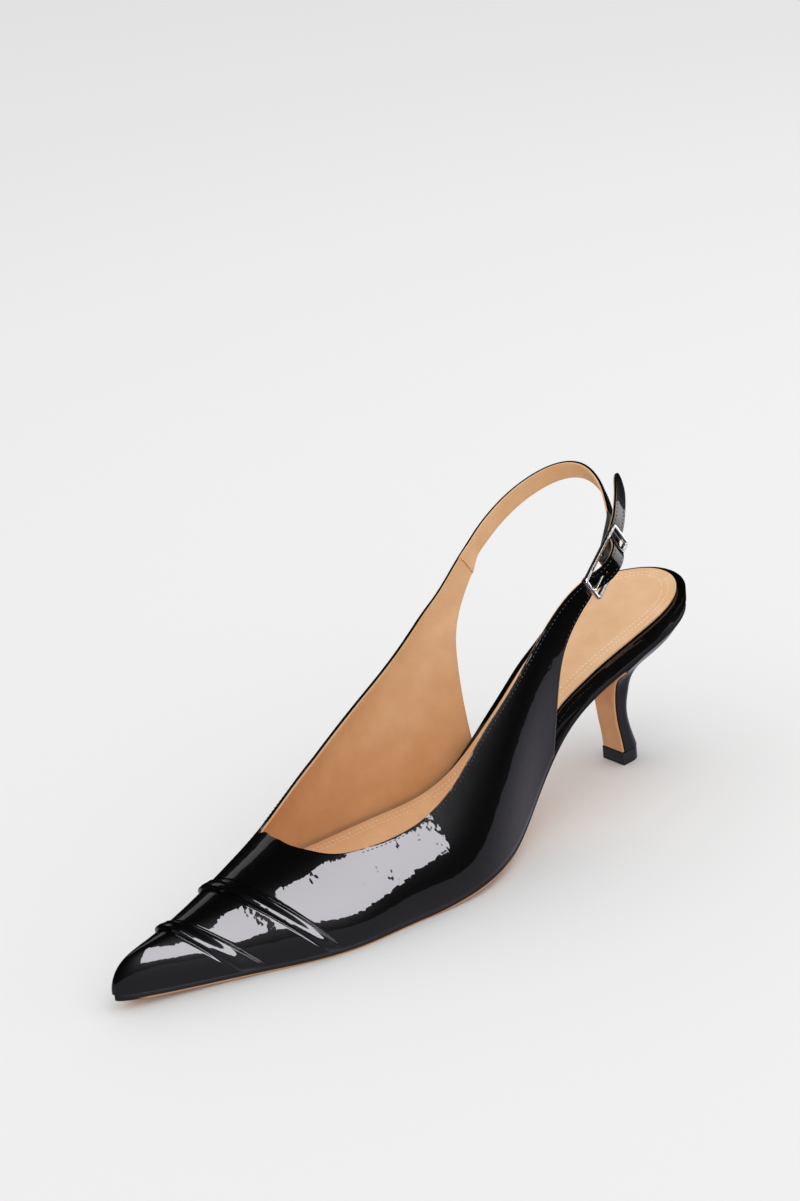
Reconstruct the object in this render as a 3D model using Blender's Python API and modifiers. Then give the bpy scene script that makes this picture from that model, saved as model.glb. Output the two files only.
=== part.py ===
"""A left slingback pump: a pointed patent upper on a kitten heel, held at the back by a buckled strap.

Every piece is one closed solid in metres. Lengths run along X from the back of the seat towards the toe,
Y points to the wearer's left, which is the outer side of this left shoe, and Z points up from the floor.
The root empty then moves the whole shoe so that its origin is the middle of the top lift.
"""

import functools
import math

import bmesh
import bpy
import numpy as np
from mathutils import Matrix, Vector

# Driving sizes of the last
SHOE_LENGTH = 0.258
BALL_WIDTH = 0.071
SEAT_WIDTH = 0.0486
WAIST_WIDTH = 0.038
HEEL_RISE = 0.059
TOE_SPRING = 0.0036
INSTEP = 0.062

# Thicknesses and clearances
GAP = 0.0003
OUTSOLE_THICKNESS = 0.0022
INSOLE_THICKNESS = 0.002
RIM_THICKNESS = 0.0043
SOCK_THICKNESS = 0.0008
RIM_LIP = 0.0034
UPPER_WALL = 0.0014
PLEAT_HEIGHT = 0.0013
PLEAT_WIDTH = 0.0046
BREAST_THICKNESS = 0.001
OUTSOLE_INSET = 0.0006
NOSE_WALL = 0.3
NOSE_LENGTH = 0.007

# Heel
LIFT_THICKNESS = 0.005
HEEL_LEVELS = 26

# Sling strap
STRAP_WIDTH = 0.0070
STRAP_THICKNESS = 0.0014
STRAP_TILT = math.radians(23.4)
LOOP_OVER_BUCKLE = 0.0015
LOOP_AHEAD_OF_BUCKLE = 0.0197
LOOP_LENGTH = 0.0513
ELASTIC_THICKNESS = 0.001
ELASTIC_WIDTH = 0.0066

# Buckle
BUCKLE_LENGTH = 0.0259
BUCKLE_WIDTH = 0.011
BUCKLE_BAR = 0.0015
BUCKLE_FROM_QUARTER = 0.01244
BUCKLE_OUT = 0.00192
BUCKLE_SLOPE = math.radians(31.5)
BUCKLE_TURN = math.radians(14.2)
BUCKLE_LEAN = math.radians(9.5)
CENTRE_BAR_RADIUS = 0.0006
PRONG_RADIUS = 0.0005
PRONG_SLOT = 12 * PRONG_RADIUS

# Outline of the shoe seen from above.
# along: share of SHOE_LENGTH from the back of the seat; medial, lateral: share of the named width
OUTLINE = [
    # along, width, medial, lateral
    (0.000, SEAT_WIDTH, -0.01, -0.01),
    (0.030, SEAT_WIDTH, -0.33, 0.32),
    (0.099, SEAT_WIDTH, -0.49, 0.48),
    (0.248, WAIST_WIDTH, -0.42, 0.54),
    (0.377, WAIST_WIDTH, -0.53, 0.61),
    (0.496, BALL_WIDTH, -0.40, 0.47),
    (0.615, BALL_WIDTH, -0.495, 0.43),
    (0.714, BALL_WIDTH, -0.45, 0.38),
    (0.824, BALL_WIDTH, -0.325, 0.213),
    (0.923, BALL_WIDTH, -0.20, 0.063),
    (0.983, BALL_WIDTH, -0.120, -0.028),
    (1.000, BALL_WIDTH, -0.083, -0.083),
]

# Height of the tread under the arch and seat, as a share of HEEL_RISE. It is flat from TREAD_FLAT to SPRING_START.
ARCH = [
    # along, rise
    (0.00, 1.000),
    (0.099, 0.924),
    (0.198, 0.787),
    (0.298, 0.559),
    (0.397, 0.171),
    (0.496, 0.049),
    (0.595, 0.000),
    (0.655, 0.000),
]
TREAD_FLAT = 0.595
SPRING_START = 0.755

# Cross sections of the last: each side is one cubic curve from the feather edge up to the crest.
# crest, bulge_lateral, bulge_medial: shares of BALL_WIDTH; height: share of INSTEP;
# wall: share of the height where the side turns in; top_lateral, top_medial: fullness of the top
LAST = [
    # along, crest, height, wall, top_lateral, top_medial, bulge_lateral, bulge_medial
    (0.198, -0.018, 1.225, 0.63, 2.02, 2.60, 0.092, 0.213),
    (0.298, -0.012, 1.200, 0.67, 1.88, 2.73, 0.071, 0.153),
    (0.397, -0.037, 1.140, 0.67, 1.27, 2.33, 0.046, 0.060),
    (0.496, -0.049, 0.990, 0.61, 0.67, 1.52, 0.036, 0.041),
    (0.595, -0.058, 0.851, 0.56, 0.52, 0.68, 0.059, 0.033),
    (0.695, -0.043, 0.566, 0.55, 0.55, 0.55, 0.030, 0.018),
    (0.774, -0.024, 0.437, 0.55, 0.55, 0.55, 0.020, 0.005),
    (0.853, -0.027, 0.333, 0.55, 0.55, 0.55, 0.010, 0.005),
    (0.923, -0.028, 0.260, 0.55, 0.55, 0.55, 0.010, 0.009),
    (0.975, -0.062, 0.187, 0.55, 0.55, 0.55, 0.010, 0.009),
    (1.000, -0.083, 0.000, 0.55, 0.55, 0.55, 0.000, 0.000),
]

# The collar, on the last, from the throat back: across is 1 at the feather edge and 0 at the crest.
THROAT = 0.731
COLLAR_LATERAL = [
    # along, across
    (THROAT, 0.000),
    (THROAT - 0.0005, 0.090),
    (0.7175, 0.264),
    (0.658, 0.527),
    (0.589, 0.611),
    (0.536, 0.590),
    (0.451, 0.495),
    (0.371, 0.500),
    (0.315, 0.532),
    (0.271, 0.563),
]
COLLAR_MEDIAL = [
    # along, across
    (THROAT, 0.000),
    (THROAT - 0.0005, 0.100),
    (0.725, 0.230),
    (0.695, 0.430),
    (0.635, 0.478),
    (0.546, 0.468),
    (0.454, 0.434),
    (0.387, 0.436),
    (0.336, 0.494),
    (0.301, 0.500),
]

# The back edge of each quarter, from its corner on the feather edge up to the strap.
BACK_LATERAL = [
    # along, across
    (0.3264, 1.000),
    (0.3215, 0.940),
    (0.3175, 0.850),
    (0.3096, 0.755),
    (0.2878, 0.696),
    (0.2590, 0.660),
]
BACK_MEDIAL = [
    # along, across
    (0.3443, 1.000),
    (0.3443, 0.910),
    (0.3403, 0.817),
    (0.3324, 0.732),
    (0.3126, 0.668),
    (0.2848, 0.627),
]

# How a row of the vamp, and a pleat, falls back from the crest towards each side, in shares of SHOE_LENGTH.
FALL_LATERAL = [
    # across, back
    (0.00, 0.000),
    (0.35, 0.012),
    (0.60, 0.028),
    (0.85, 0.050),
    (1.00, 0.066),
]
FALL_MEDIAL = [
    # across, back
    (0.00, 0.000),
    (0.44, 0.001),
    (1.00, 0.034),
]
# How much of that fall each part of the vamp has.
FALL_SHARE = [
    # crest, share
    (THROAT, 1.10),
    (0.784, 1.20),
    (0.826, 1.25),
    (0.909, 1.00),
    (0.953, 0.45),
    (1.000, 0.00),
]
# The line at which the vamp meets a quarter runs from the collar's turn to this place on the feather edge.
QUARTER_START_LATERAL = 0.650
QUARTER_START_MEDIAL = 0.677
BEHIND_PLEATS = 0.81
PLEATS = [0.909, 0.8255]
PLEAT_FADES = (0.80, 0.97)

# Rows of the vamp: over a pleat, in shares of its width from its middle, and on the plain leather between
PLEAT_ROWS = [-0.75, -0.45, -0.18, 0.0, 0.17, 0.36]
PLAIN_ROWS = [0.750, 0.770, 0.791, 0.851, 0.872, 0.929, 0.946, 0.961, 0.975, 0.987, 0.995, 1.0]
UPPER_COLUMNS = 14
THROAT_COLUMNS_LATERAL = 7
THROAT_COLUMNS_MEDIAL = 6
QUARTER_ROWS = 15
BACK_ROWS = 9
WEAVE_ROWS = 40
STRAP_ROWS = 60
LAP_ROWS = 3
COLLAR_POINTS = 600
COLLAR_TO_CORNER = 0.62
STRAP_NARROWS_BY = 0.09

# Where each layer of the sole starts and ends, and its rows
OUTSOLE_ENDS = (0.0004, 0.9996)
INSOLE_ENDS = (0.0004, 0.982)
SOCK_ENDS = (0.0008, 0.960)
OUTSOLE_ROWS = 54
INSOLE_ROWS = 50
SOCK_ROWS = 44
# Between these places the insole's edge goes in under the quarters, its rim thins out and the sock's lip ends
BOARD_GOES_IN = (0.24, 0.31)
RIM_THINS = (0.30, 0.46)
LIP_ENDS = (0.30, 0.45)

# The strap seen square to its own plane, from the lap on the medial quarter round to the elastic.
# back: share of LOOP_LENGTH from the loop's front;
# side: share of the distance between the medial quarter's end and the buckle, from midway
LOOP = [
    # back, side
    (-0.11, -0.4781),
    (0.00, -0.4825),
    (0.19, -0.5328),
    (0.39, -0.5752),
    (0.62, -0.5796),
    (0.80, -0.5346),
    (0.93, -0.4516),
    (0.995, -0.3386),
    (1.00, -0.2397),
    (0.965, -0.1161),
    (0.885, 0.0339),
    (0.800, 0.1487),
    (0.735, 0.2282),
    (0.690, 0.2794),
]

# The lateral strap through the buckle, in the buckle's own directions.
# along: share of BUCKLE_LENGTH from the centre bar, heelwards;
# out, up: shares of BUCKLE_WIDTH off the buckle's plane and middle
WEAVE = [
    # along, out, up
    (-0.41, -0.1727, 0.0000),
    (-0.33, -0.0182, 0.0000),
    (-0.19, 0.2636, 0.0000),
    (0.00, 0.3818, 0.0000),
    (0.20, 0.3000, 0.0091),
    (0.33, 0.0545, 0.0182),
    (0.41, -0.1000, 0.0273),
    (0.50, -0.1364, 0.0455),
    (0.62, -0.1636, 0.0818),
    (0.78, -0.2636, 0.1273),
    (1.00, -0.4455, 0.1909),
    (1.22, -0.6818, 0.2545),
    (1.40, -0.9182, 0.3091),
]
TIP_LENGTH = 0.0075
TIP_BLUNT = 0.12

# The elastic between the strap's end and its turn round the centre bar, in the same directions.
ELASTIC = [
    # along, out
    (0.48, -0.4091),
    (0.30, -0.2818),
    (0.15, -0.1909),
]
# The elastic's turn round the centre bar, in degrees, and its end behind the turn.
# back: share of ELASTIC_RETURN; out: share of the turn's radius
ELASTIC_TURN = (-80, -280)
ELASTIC_END = [
    # back, out
    (0.5, 0.505),
    (1.0, -0.400),
]
ELASTIC_LAP_SHARE = 0.04
ELASTIC_RETURN = 0.0038
ELASTIC_ROWS = 46

# The prong: its turn round the centre bar, in degrees, and its hole through the strap, in shares of BUCKLE_LENGTH
PRONG_TURN = (-160, 90)
PRONG_HOLE = (-0.46, -0.10)

# Sections of the heel between the top lift and the seat.
# height: share of the way up; back, front: shares of SHOE_LENGTH; half: share of SEAT_WIDTH; round: share of the depth
HEEL = [
    # height, back, front, half, round
    (0.00, 0.1002, 0.1349, 0.112, 0.55),
    (0.12, 0.1077, 0.1374, 0.106, 0.55),
    (0.24, 0.1136, 0.1414, 0.104, 0.55),
    (0.38, 0.1146, 0.1444, 0.106, 0.55),
    (0.50, 0.1080, 0.1449, 0.110, 0.55),
    (0.59, 0.0980, 0.1429, 0.112, 0.55),
    (0.66, 0.0802, 0.1429, 0.137, 0.55),
    (0.73, 0.0557, 0.1459, 0.201, 0.56),
    (0.80, 0.0343, 0.1518, 0.276, 0.57),
    (0.88, 0.0187, 0.1627, 0.356, 0.58),
    (0.95, 0.0102, 0.1746, 0.415, 0.59),
    (1.00, 0.0055, 0.1846, 0.460, 0.60),
]

# Colours, roughness and metallic value
FINISHES = {
    "patent_black": ((0.006, 0.006, 0.008, 1), 0.06, 0.0),
    "leather_tan": ((0.58, 0.31, 0.15, 1), 0.55, 0.0),
    "sole_leather": ((0.62, 0.38, 0.22, 1), 0.5, 0.0),
    "rubber_black": ((0.012, 0.012, 0.013, 1), 0.5, 0.0),
    "elastic_black": ((0.02, 0.02, 0.022, 1), 0.8, 0.0),
    "buckle_metal": ((0.80, 0.80, 0.80, 1), 0.15, 1.0),
}


# Curves through tables


def spline(table, column, at, place=0):
    """The natural cubic through one column of a table, read at the given places."""
    x = np.array([row[place] for row in table], float)
    y = np.array([row[column] for row in table], float)
    if x[0] > x[-1]:
        x, y = x[::-1], y[::-1]
    count = len(x)
    step = np.diff(x)
    matrix = np.zeros((count, count))
    right = np.zeros(count)
    matrix[0, 0] = 1
    matrix[-1, -1] = 1
    for i in range(1, count - 1):
        matrix[i, i - 1 : i + 2] = step[i - 1], 2 * (step[i - 1] + step[i]), step[i]
        right[i] = 6 * ((y[i + 1] - y[i]) / step[i] - (y[i] - y[i - 1]) / step[i - 1])
    bend = np.linalg.solve(matrix, right)
    at = np.asarray(at, float)
    i = np.clip(np.searchsorted(x, at) - 1, 0, count - 2)
    low = (x[i + 1] - at) / step[i]
    high = 1 - low
    curve = (low**3 - low) * bend[i] + (high**3 - high) * bend[i + 1]
    return low * y[i] + high * y[i + 1] + curve * step[i] ** 2 / 6


def chain(table, at):
    """A smooth curve through all the rows of a table, read at shares 0 to 1 of its length."""
    points = np.array(table, float)
    size = np.ptp(points, axis=0)
    legs = np.linalg.norm(np.diff(points, axis=0) / np.maximum(size, 1e-9), axis=1)
    run = np.concatenate([[0], np.cumsum(legs)]) / legs.sum()
    rows = [(place, *point) for place, point in zip(run, points)]
    return np.stack([spline(rows, k + 1, at) for k in range(points.shape[1])], -1)


def rounded(along):
    """Stretches the two ends of the shoe's length, so that the curves through the tables end round."""
    return np.arccos(np.clip(1 - 2 * np.asarray(along, float), -1, 1)) / np.pi


def smooth_step(low, high, x):
    t = np.clip((np.asarray(x, float) - low) / (high - low), 0, 1)
    return t * t * (3 - 2 * t)


# The last


def outline_side(along, side):
    """Half the outline: Y of the feather edge, for side +1 (lateral) or -1 (medial)."""
    column = 3 if side > 0 else 2
    table = [(float(rounded(row[0])), row[1] * row[column]) for row in OUTLINE]
    return spline(table, 1, rounded(along))


def tread_height(along):
    along = np.asarray(along, float)
    rise = HEEL_RISE * spline(ARCH, 1, np.clip(along, 0, ARCH[-1][0]))
    rise = np.where(along >= TREAD_FLAT, 0, np.maximum(rise, 0))
    spring = np.clip((along - SPRING_START) / (1 - SPRING_START), 0, None)
    return rise + TOE_SPRING * spring**2


def feather_height(along):
    return tread_height(along) + OUTSOLE_THICKNESS + GAP


def last_column(column, along):
    table = [(float(rounded(row[0])), row[column]) for row in LAST]
    return spline(table, 1, rounded(along))


def last_point(along, across):
    """A point of the last: across runs from -1, the medial feather edge, over the crest at 0, to +1."""
    along, across = np.broadcast_arrays(np.asarray(along, float), np.asarray(across, float))
    lateral = across > 0
    edge_y = np.where(lateral, outline_side(along, 1), outline_side(along, -1))
    edge_z = feather_height(along)
    crest_y = last_column(1, along) * BALL_WIDTH
    height = last_column(2, along) * INSTEP
    top = np.where(lateral, last_column(4, along), last_column(5, along))
    bulge = np.where(lateral, last_column(6, along), -last_column(7, along)) * BALL_WIDTH
    corners = [
        (edge_y, edge_z),
        (edge_y + bulge, edge_z + last_column(3, along) * height),
        (crest_y + (edge_y - crest_y) * top, edge_z + height),
        (crest_y, edge_z + height),
    ]
    t = 1 - np.abs(across)
    weights = [(1 - t) ** 3, 3 * t * (1 - t) ** 2, 3 * t * t * (1 - t), t**3]
    y = sum(w * corner[0] for w, corner in zip(weights, corners))
    z = sum(w * corner[1] for w, corner in zip(weights, corners))
    return np.stack([along * SHOE_LENGTH, y, z], -1)


def last_normal(along, across):
    """The direction out of the last."""
    small = 1e-3
    along = np.clip(along, small, 1 - small)
    across = np.clip(across, small - 1, 1 - small)
    forward = last_point(along + small, across) - last_point(along - small, across)
    sideways = last_point(along, across + small) - last_point(along, across - small)
    normal = np.cross(forward, sideways)
    return normal / np.linalg.norm(normal, axis=-1, keepdims=True)


def collar_turn(side):
    """The collar as fine points, and the number of the point where it leaves the throat for the quarter."""
    line = chain(COLLAR_LATERAL if side > 0 else COLLAR_MEDIAL, np.linspace(0, 1, COLLAR_POINTS))
    columns = THROAT_COLUMNS_LATERAL if side > 0 else THROAT_COLUMNS_MEDIAL
    turn = int(np.argmax(line[:, 1] > columns / UPPER_COLUMNS))
    line[turn] = (line[turn, 0], columns / UPPER_COLUMNS)
    return line, turn


def throat_row(side, across):
    """Places along the shoe of the line that follows the collar, then runs down to the feather edge."""
    line, turn = collar_turn(side)
    start = QUARTER_START_LATERAL if side > 0 else QUARTER_START_MEDIAL
    places = np.append(line[: turn + 1, 1], 1.0)
    return np.interp(across, places, np.append(line[: turn + 1, 0], start))


def fall(crest, side, across):
    """How far behind its crest a row of the vamp lies, at a place from 0 at the crest to 1 at the side's edge."""
    table = FALL_LATERAL if side > 0 else FALL_MEDIAL
    over_vamp = spline(FALL_SHARE, 1, crest) * spline(table, 1, across)
    near_throat = 1 - smooth_step(THROAT, BEHIND_PLEATS, crest)
    return over_vamp + near_throat * (THROAT - throat_row(side, across) - over_vamp)


def pleat_rise(crest, across):
    """The height of the pleats' ridges over the plain vamp: steep towards the toe, sloping behind."""
    rise = 0.0
    for middle in PLEATS:
        off = (crest - middle) * SHOE_LENGTH / PLEAT_WIDTH
        rise += smooth_step(PLEAT_ROWS[0], 0, off) * (1 - smooth_step(0, PLEAT_ROWS[-1], off))
    return PLEAT_HEIGHT * rise * (1 - smooth_step(*PLEAT_FADES, across))


# Meshes


def add_object(name, mesh, finish, root):
    obj = bpy.data.objects.new(name, mesh)
    bpy.data.collections["slingback_pump"].objects.link(obj)
    obj.parent = root
    mesh.materials.append(bpy.data.materials[finish])
    return obj


def finished_mesh(name, shape, merge):
    """The mesh of a bmesh whose neighbouring blocks meet point on point."""
    bmesh.ops.remove_doubles(shape, verts=shape.verts, dist=merge)
    mesh = bpy.data.meshes.new(name)
    shape.to_mesh(mesh)
    shape.free()
    mesh.shade_smooth()
    mesh.set_sharp_from_angle(angle=math.radians(40))
    return mesh


def add_grid(shape, rows, turned=False):
    """Quads between neighbouring rows of points."""
    vertices = [[shape.verts.new(point) for point in row] for row in rows]
    for near, far in zip(vertices, vertices[1:]):
        for corners in zip(near, near[1:], far[1:], far):
            shape.faces.new(corners[::-1] if turned else corners)
    return vertices


def slab_mesh(name, bottom, top):
    """A closed solid between two grids of points of the same shape, such as a sole's two faces."""
    shape = bmesh.new()
    low = add_grid(shape, bottom)
    high = add_grid(shape, top)
    for rim_low, rim_high in (
        (low[0], high[0]),
        (low[-1], high[-1]),
        ([row[0] for row in low], [row[0] for row in high]),
        ([row[-1] for row in low], [row[-1] for row in high]),
    ):
        for corners in zip(rim_low, rim_low[1:], rim_high[1:], rim_high):
            shape.faces.new(corners)
    bmesh.ops.recalc_face_normals(shape, faces=shape.faces)
    return finished_mesh(name, shape, 2e-6)


def loft_mesh(name, rings):
    """A closed solid through rings of points. Each ring runs down one side and back up the other."""
    shape = bmesh.new()
    vertices = [[shape.verts.new(point) for point in ring] for ring in rings]
    for near, far in zip(vertices, vertices[1:]):
        for corners in zip(near, near[1:] + near[:1], far[1:] + far[:1], far):
            shape.faces.new(corners)
    for ring in (vertices[0], vertices[-1]):
        half = len(ring) // 2
        there, back = ring[:half], ring[:half - 1:-1]
        for corners in zip(there, there[1:], back[1:], back):
            shape.faces.new(corners)
    bmesh.ops.recalc_face_normals(shape, faces=shape.faces)
    return finished_mesh(name, shape, 2e-6)


def band_mesh(name, centres, widths, outs, thickness):
    """A closed strap: centres of its middle surface, vectors across its width, and its outward directions."""
    outs = outs / np.linalg.norm(outs, axis=1, keepdims=True) * thickness / 2
    share = np.array([-0.5, 0.5])[None, :, None]
    middle = centres[:, None] + widths[:, None] * share
    return slab_mesh(name, middle - outs[:, None], middle + outs[:, None])


# Sole


def sole_stations(start, end, count):
    """Shares of the length, closer together at the round ends."""
    turn = np.linspace(rounded(start), rounded(end), count) * np.pi
    return (1 - np.cos(turn)) / 2


def footbed(stations, inset, columns=3):
    """Rows across the shoe at the given stations, the outline drawn in by inset, as (X, Y)."""
    edges = []
    for side in (-1, 1):
        y = outline_side(stations, side)
        x = stations * SHOE_LENGTH
        slope = np.gradient(y, x)
        length = np.sqrt(1 + slope**2)
        edges.append(np.stack([x + side * inset * slope / length, y - side * inset / length], -1))
    share = np.linspace(0, 1, columns)[None, :, None]
    return edges[0][:, None] * (1 - share) + edges[1][:, None] * share


def with_height(plan, height):
    return np.concatenate([plan, np.asarray(height)[..., None]], -1)


def make_outsole(root):
    plan = footbed(sole_stations(*OUTSOLE_ENDS, OUTSOLE_ROWS), OUTSOLE_INSET)
    bottom = with_height(plan, tread_height(plan[..., 0] / SHOE_LENGTH))
    top = bottom + [0, 0, OUTSOLE_THICKNESS]
    add_object("outsole", slab_mesh("outsole", bottom, top), "sole_leather", root)


def board_inset(along):
    """How far the insole lies inside the outline: inside the upper's wall, and flush behind the quarters."""
    inside = UPPER_WALL + 3 * GAP
    return GAP + (inside - GAP) * smooth_step(*BOARD_GOES_IN, along)


def board_top(x):
    along = x / SHOE_LENGTH
    thinner = (RIM_THICKNESS - INSOLE_THICKNESS) * smooth_step(*RIM_THINS, along)
    return feather_height(along) + RIM_THICKNESS - thinner


def make_insole(root):
    stations = sole_stations(*INSOLE_ENDS, INSOLE_ROWS)
    plan = footbed(stations, board_inset(stations))
    bottom = with_height(plan, feather_height(plan[..., 0] / SHOE_LENGTH) + GAP)
    top = with_height(plan, board_top(plan[..., 0]))
    add_object("insole", slab_mesh("insole", bottom, top), "patent_black", root)


def make_sock(root):
    stations = sole_stations(*SOCK_ENDS, SOCK_ROWS)
    lip = RIM_LIP + (2 * GAP - RIM_LIP) * smooth_step(*LIP_ENDS, stations)
    plan = footbed(stations, board_inset(stations) + lip)
    bottom = with_height(plan, board_top(plan[..., 0]) + 2 * GAP)
    top = bottom + [0, 0, SOCK_THICKNESS]
    add_object("sock", slab_mesh("sock", bottom, top), "leather_tan", root)


# Upper


def vamp_crests():
    """Places along the crest of the vamp's rows: close together over each pleat."""
    over_pleat = np.array(PLEAT_ROWS) * PLEAT_WIDTH / SHOE_LENGTH
    pleat_rows = [middle + over_pleat for middle in PLEATS]
    return np.sort(np.concatenate([[THROAT], PLAIN_ROWS, *pleat_rows]))[::-1]


def vamp_rows(side):
    """Rows from the feather edge up to the crest, from the toe back to the throat."""
    rows = []
    for crest in vamp_crests():
        across = side * np.linspace(1, 0, UPPER_COLUMNS + 1)
        along = crest - fall(crest, side, np.abs(across))
        rise = pleat_rise(crest, np.abs(across))
        rows.append(last_point(along, across) + rise[:, None] * last_normal(along, across))
    return np.array(rows)


def quarter_rows(side):
    """Rows from the feather edge, then from the quarter's back edge, up to the collar."""
    back = BACK_LATERAL if side > 0 else BACK_MEDIAL
    line, turn = collar_turn(side)
    columns = UPPER_COLUMNS - (THROAT_COLUMNS_LATERAL if side > 0 else THROAT_COLUMNS_MEDIAL)
    start = QUARTER_START_LATERAL if side > 0 else QUARTER_START_MEDIAL
    bottoms = [(along, 1.0) for along in np.linspace(start, back[0][0], QUARTER_ROWS + 1)]
    bottoms += [tuple(point) for point in chain(back, np.linspace(0, 1, BACK_ROWS + 1)[1:])]
    reach = np.linspace(0, COLLAR_TO_CORNER, QUARTER_ROWS + 1)
    reach = np.concatenate([reach, np.linspace(COLLAR_TO_CORNER, 1, BACK_ROWS + 1)[1:]])
    tops = np.round(turn + reach * (COLLAR_POINTS - 1 - turn)).astype(int)
    share = np.linspace(0, 1, columns + 1)[:, None]
    rows = []
    for bottom, top in zip(bottoms, line[tops]):
        row = np.array(bottom) * (1 - share) + top * share
        rows.append(last_point(row[:, 0], side * row[:, 1]))
    return np.array(rows)


def buckle_axes():
    """The buckle's directions: heelwards along the strap, up across it, and out of the shoe."""
    slope, turn, lean = BUCKLE_SLOPE, BUCKLE_TURN, BUCKLE_LEAN
    along = Vector((-math.cos(slope) * math.cos(turn), -math.cos(slope) * math.sin(turn), math.sin(slope)))
    level = Vector((-math.sin(turn), math.cos(turn), 0))
    upright = level.cross(along)
    out = math.cos(lean) * level + math.sin(lean) * upright
    return along, out.cross(along), out


@functools.lru_cache(maxsize=None)
def buckle_centre():
    """The middle of the centre bar, a little way on from the end of the lateral quarter."""
    heelwards, across, outwards = (np.array(axis) for axis in buckle_axes())
    return quarter_rows(1)[-1].mean(axis=0) + BUCKLE_FROM_QUARTER * heelwards + BUCKLE_OUT * outwards


def buckle_point(along, out, up=0.0):
    """A point given in the buckle's directions, in metres from the middle of its centre bar."""
    heelwards, across, outwards = (np.array(axis) for axis in buckle_axes())
    return buckle_centre() + along * heelwards + out * outwards + up * across


def weave_points():
    return [buckle_point(a * BUCKLE_LENGTH, o * BUCKLE_WIDTH, u * BUCKLE_WIDTH) for a, o, u in WEAVE]


def weave_rows(first):
    """The lateral strap from the quarter's last row through the buckle to its pointed tip."""
    route = [first.mean(axis=0)] + weave_points()
    route = chain(route, np.linspace(0, 1, WEAVE_ROWS + 1))
    legs = np.linalg.norm(np.diff(route, axis=0), axis=1)
    left = np.append(np.cumsum(legs[::-1])[::-1], 0)
    up = np.array(buckle_axes()[1])
    first_width = np.linalg.norm(first[-1] - first[0])
    first_up = (first[-1] - first[0]) / first_width
    blend = smooth_step(0, STRAP_NARROWS_BY, np.linspace(0, 1, WEAVE_ROWS + 1))
    width = first_width + (STRAP_WIDTH - first_width) * blend
    width *= np.sqrt(np.clip(1 - np.clip(1 - left / TIP_LENGTH, 0, 1) ** 2, TIP_BLUNT**2, 1))
    across = first_up * (1 - blend[:, None]) + up * blend[:, None]
    across /= np.linalg.norm(across, axis=1, keepdims=True)
    share = np.linspace(-0.5, 0.5, len(first))[None, :, None]
    rows = route[:, None] + (across * width[:, None])[:, None] * share
    return rows[1:]


def make_upper(root, cutters):
    lateral = quarter_rows(1)
    shape = bmesh.new()
    add_grid(shape, vamp_rows(1), turned=True)
    add_grid(shape, vamp_rows(-1))
    add_grid(shape, np.concatenate([lateral, weave_rows(lateral[-1])]), turned=True)
    add_grid(shape, quarter_rows(-1))
    obj = add_object("upper", finished_mesh("upper", shape, 2e-6), "patent_black", root)
    wall = obj.vertex_groups.new(name="wall")
    for vertex in obj.data.vertices:
        from_tip = SHOE_LENGTH - vertex.co.x
        wall.add([vertex.index], float(min(1, NOSE_WALL + from_tip / NOSE_LENGTH)), "REPLACE")
    solidify = obj.modifiers.new("wall", "SOLIDIFY")
    solidify.thickness = UPPER_WALL
    solidify.offset = -1
    solidify.use_even_offset = True
    solidify.vertex_group = "wall"
    hole = obj.modifiers.new("prong hole", "BOOLEAN")
    hole.operation = "DIFFERENCE"
    hole.object = cutters["prong_hole"]


# Sling strap and elastic


def loop_points(share):
    """The middle line of the strap in its tilted plane, at shares of its length."""
    plan = chain(LOOP, share)
    buckle = buckle_centre()
    medial = quarter_rows(-1)[-1].mean(axis=0)
    ahead = LOOP_AHEAD_OF_BUCKLE - plan[:, 0] * LOOP_LENGTH
    y = (buckle[1] + medial[1]) / 2 + plan[:, 1] * (buckle[1] - medial[1])
    z = buckle[2] + LOOP_OVER_BUCKLE - math.tan(STRAP_TILT) * ahead
    return np.stack([buckle[0] + ahead, y, z], -1)


def loop_up():
    return np.array([math.sin(STRAP_TILT), 0, math.cos(STRAP_TILT)])


def make_sling_strap(root):
    """The strap starts inside the medial quarter, where the quarter laps over it."""
    inward = UPPER_WALL + 3 * GAP + STRAP_THICKNESS / 2
    lap = quarter_rows(-1)[-LAP_ROWS:]
    sides = np.cross(lap[:, -1] - lap[:, 0], np.gradient(lap.mean(axis=1), axis=0))
    sides *= np.sign(sides[:, 1:2])
    lap = lap + (sides / np.linalg.norm(sides, axis=1, keepdims=True) * inward)[:, None]
    loop = loop_points(np.linspace(0.1, 1, 15))
    half = loop_up() * STRAP_WIDTH / 2
    share = np.linspace(0, 1, STRAP_ROWS)
    low = chain(np.concatenate([lap[:, 0], loop - half]), share)
    high = chain(np.concatenate([lap[:, -1], loop + half]), share)
    outs = np.cross(high - low, np.gradient((low + high) / 2, axis=0))
    mesh = band_mesh("sling_strap", (low + high) / 2, high - low, outs, STRAP_THICKNESS)
    add_object("sling_strap", mesh, "patent_black", root)


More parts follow.
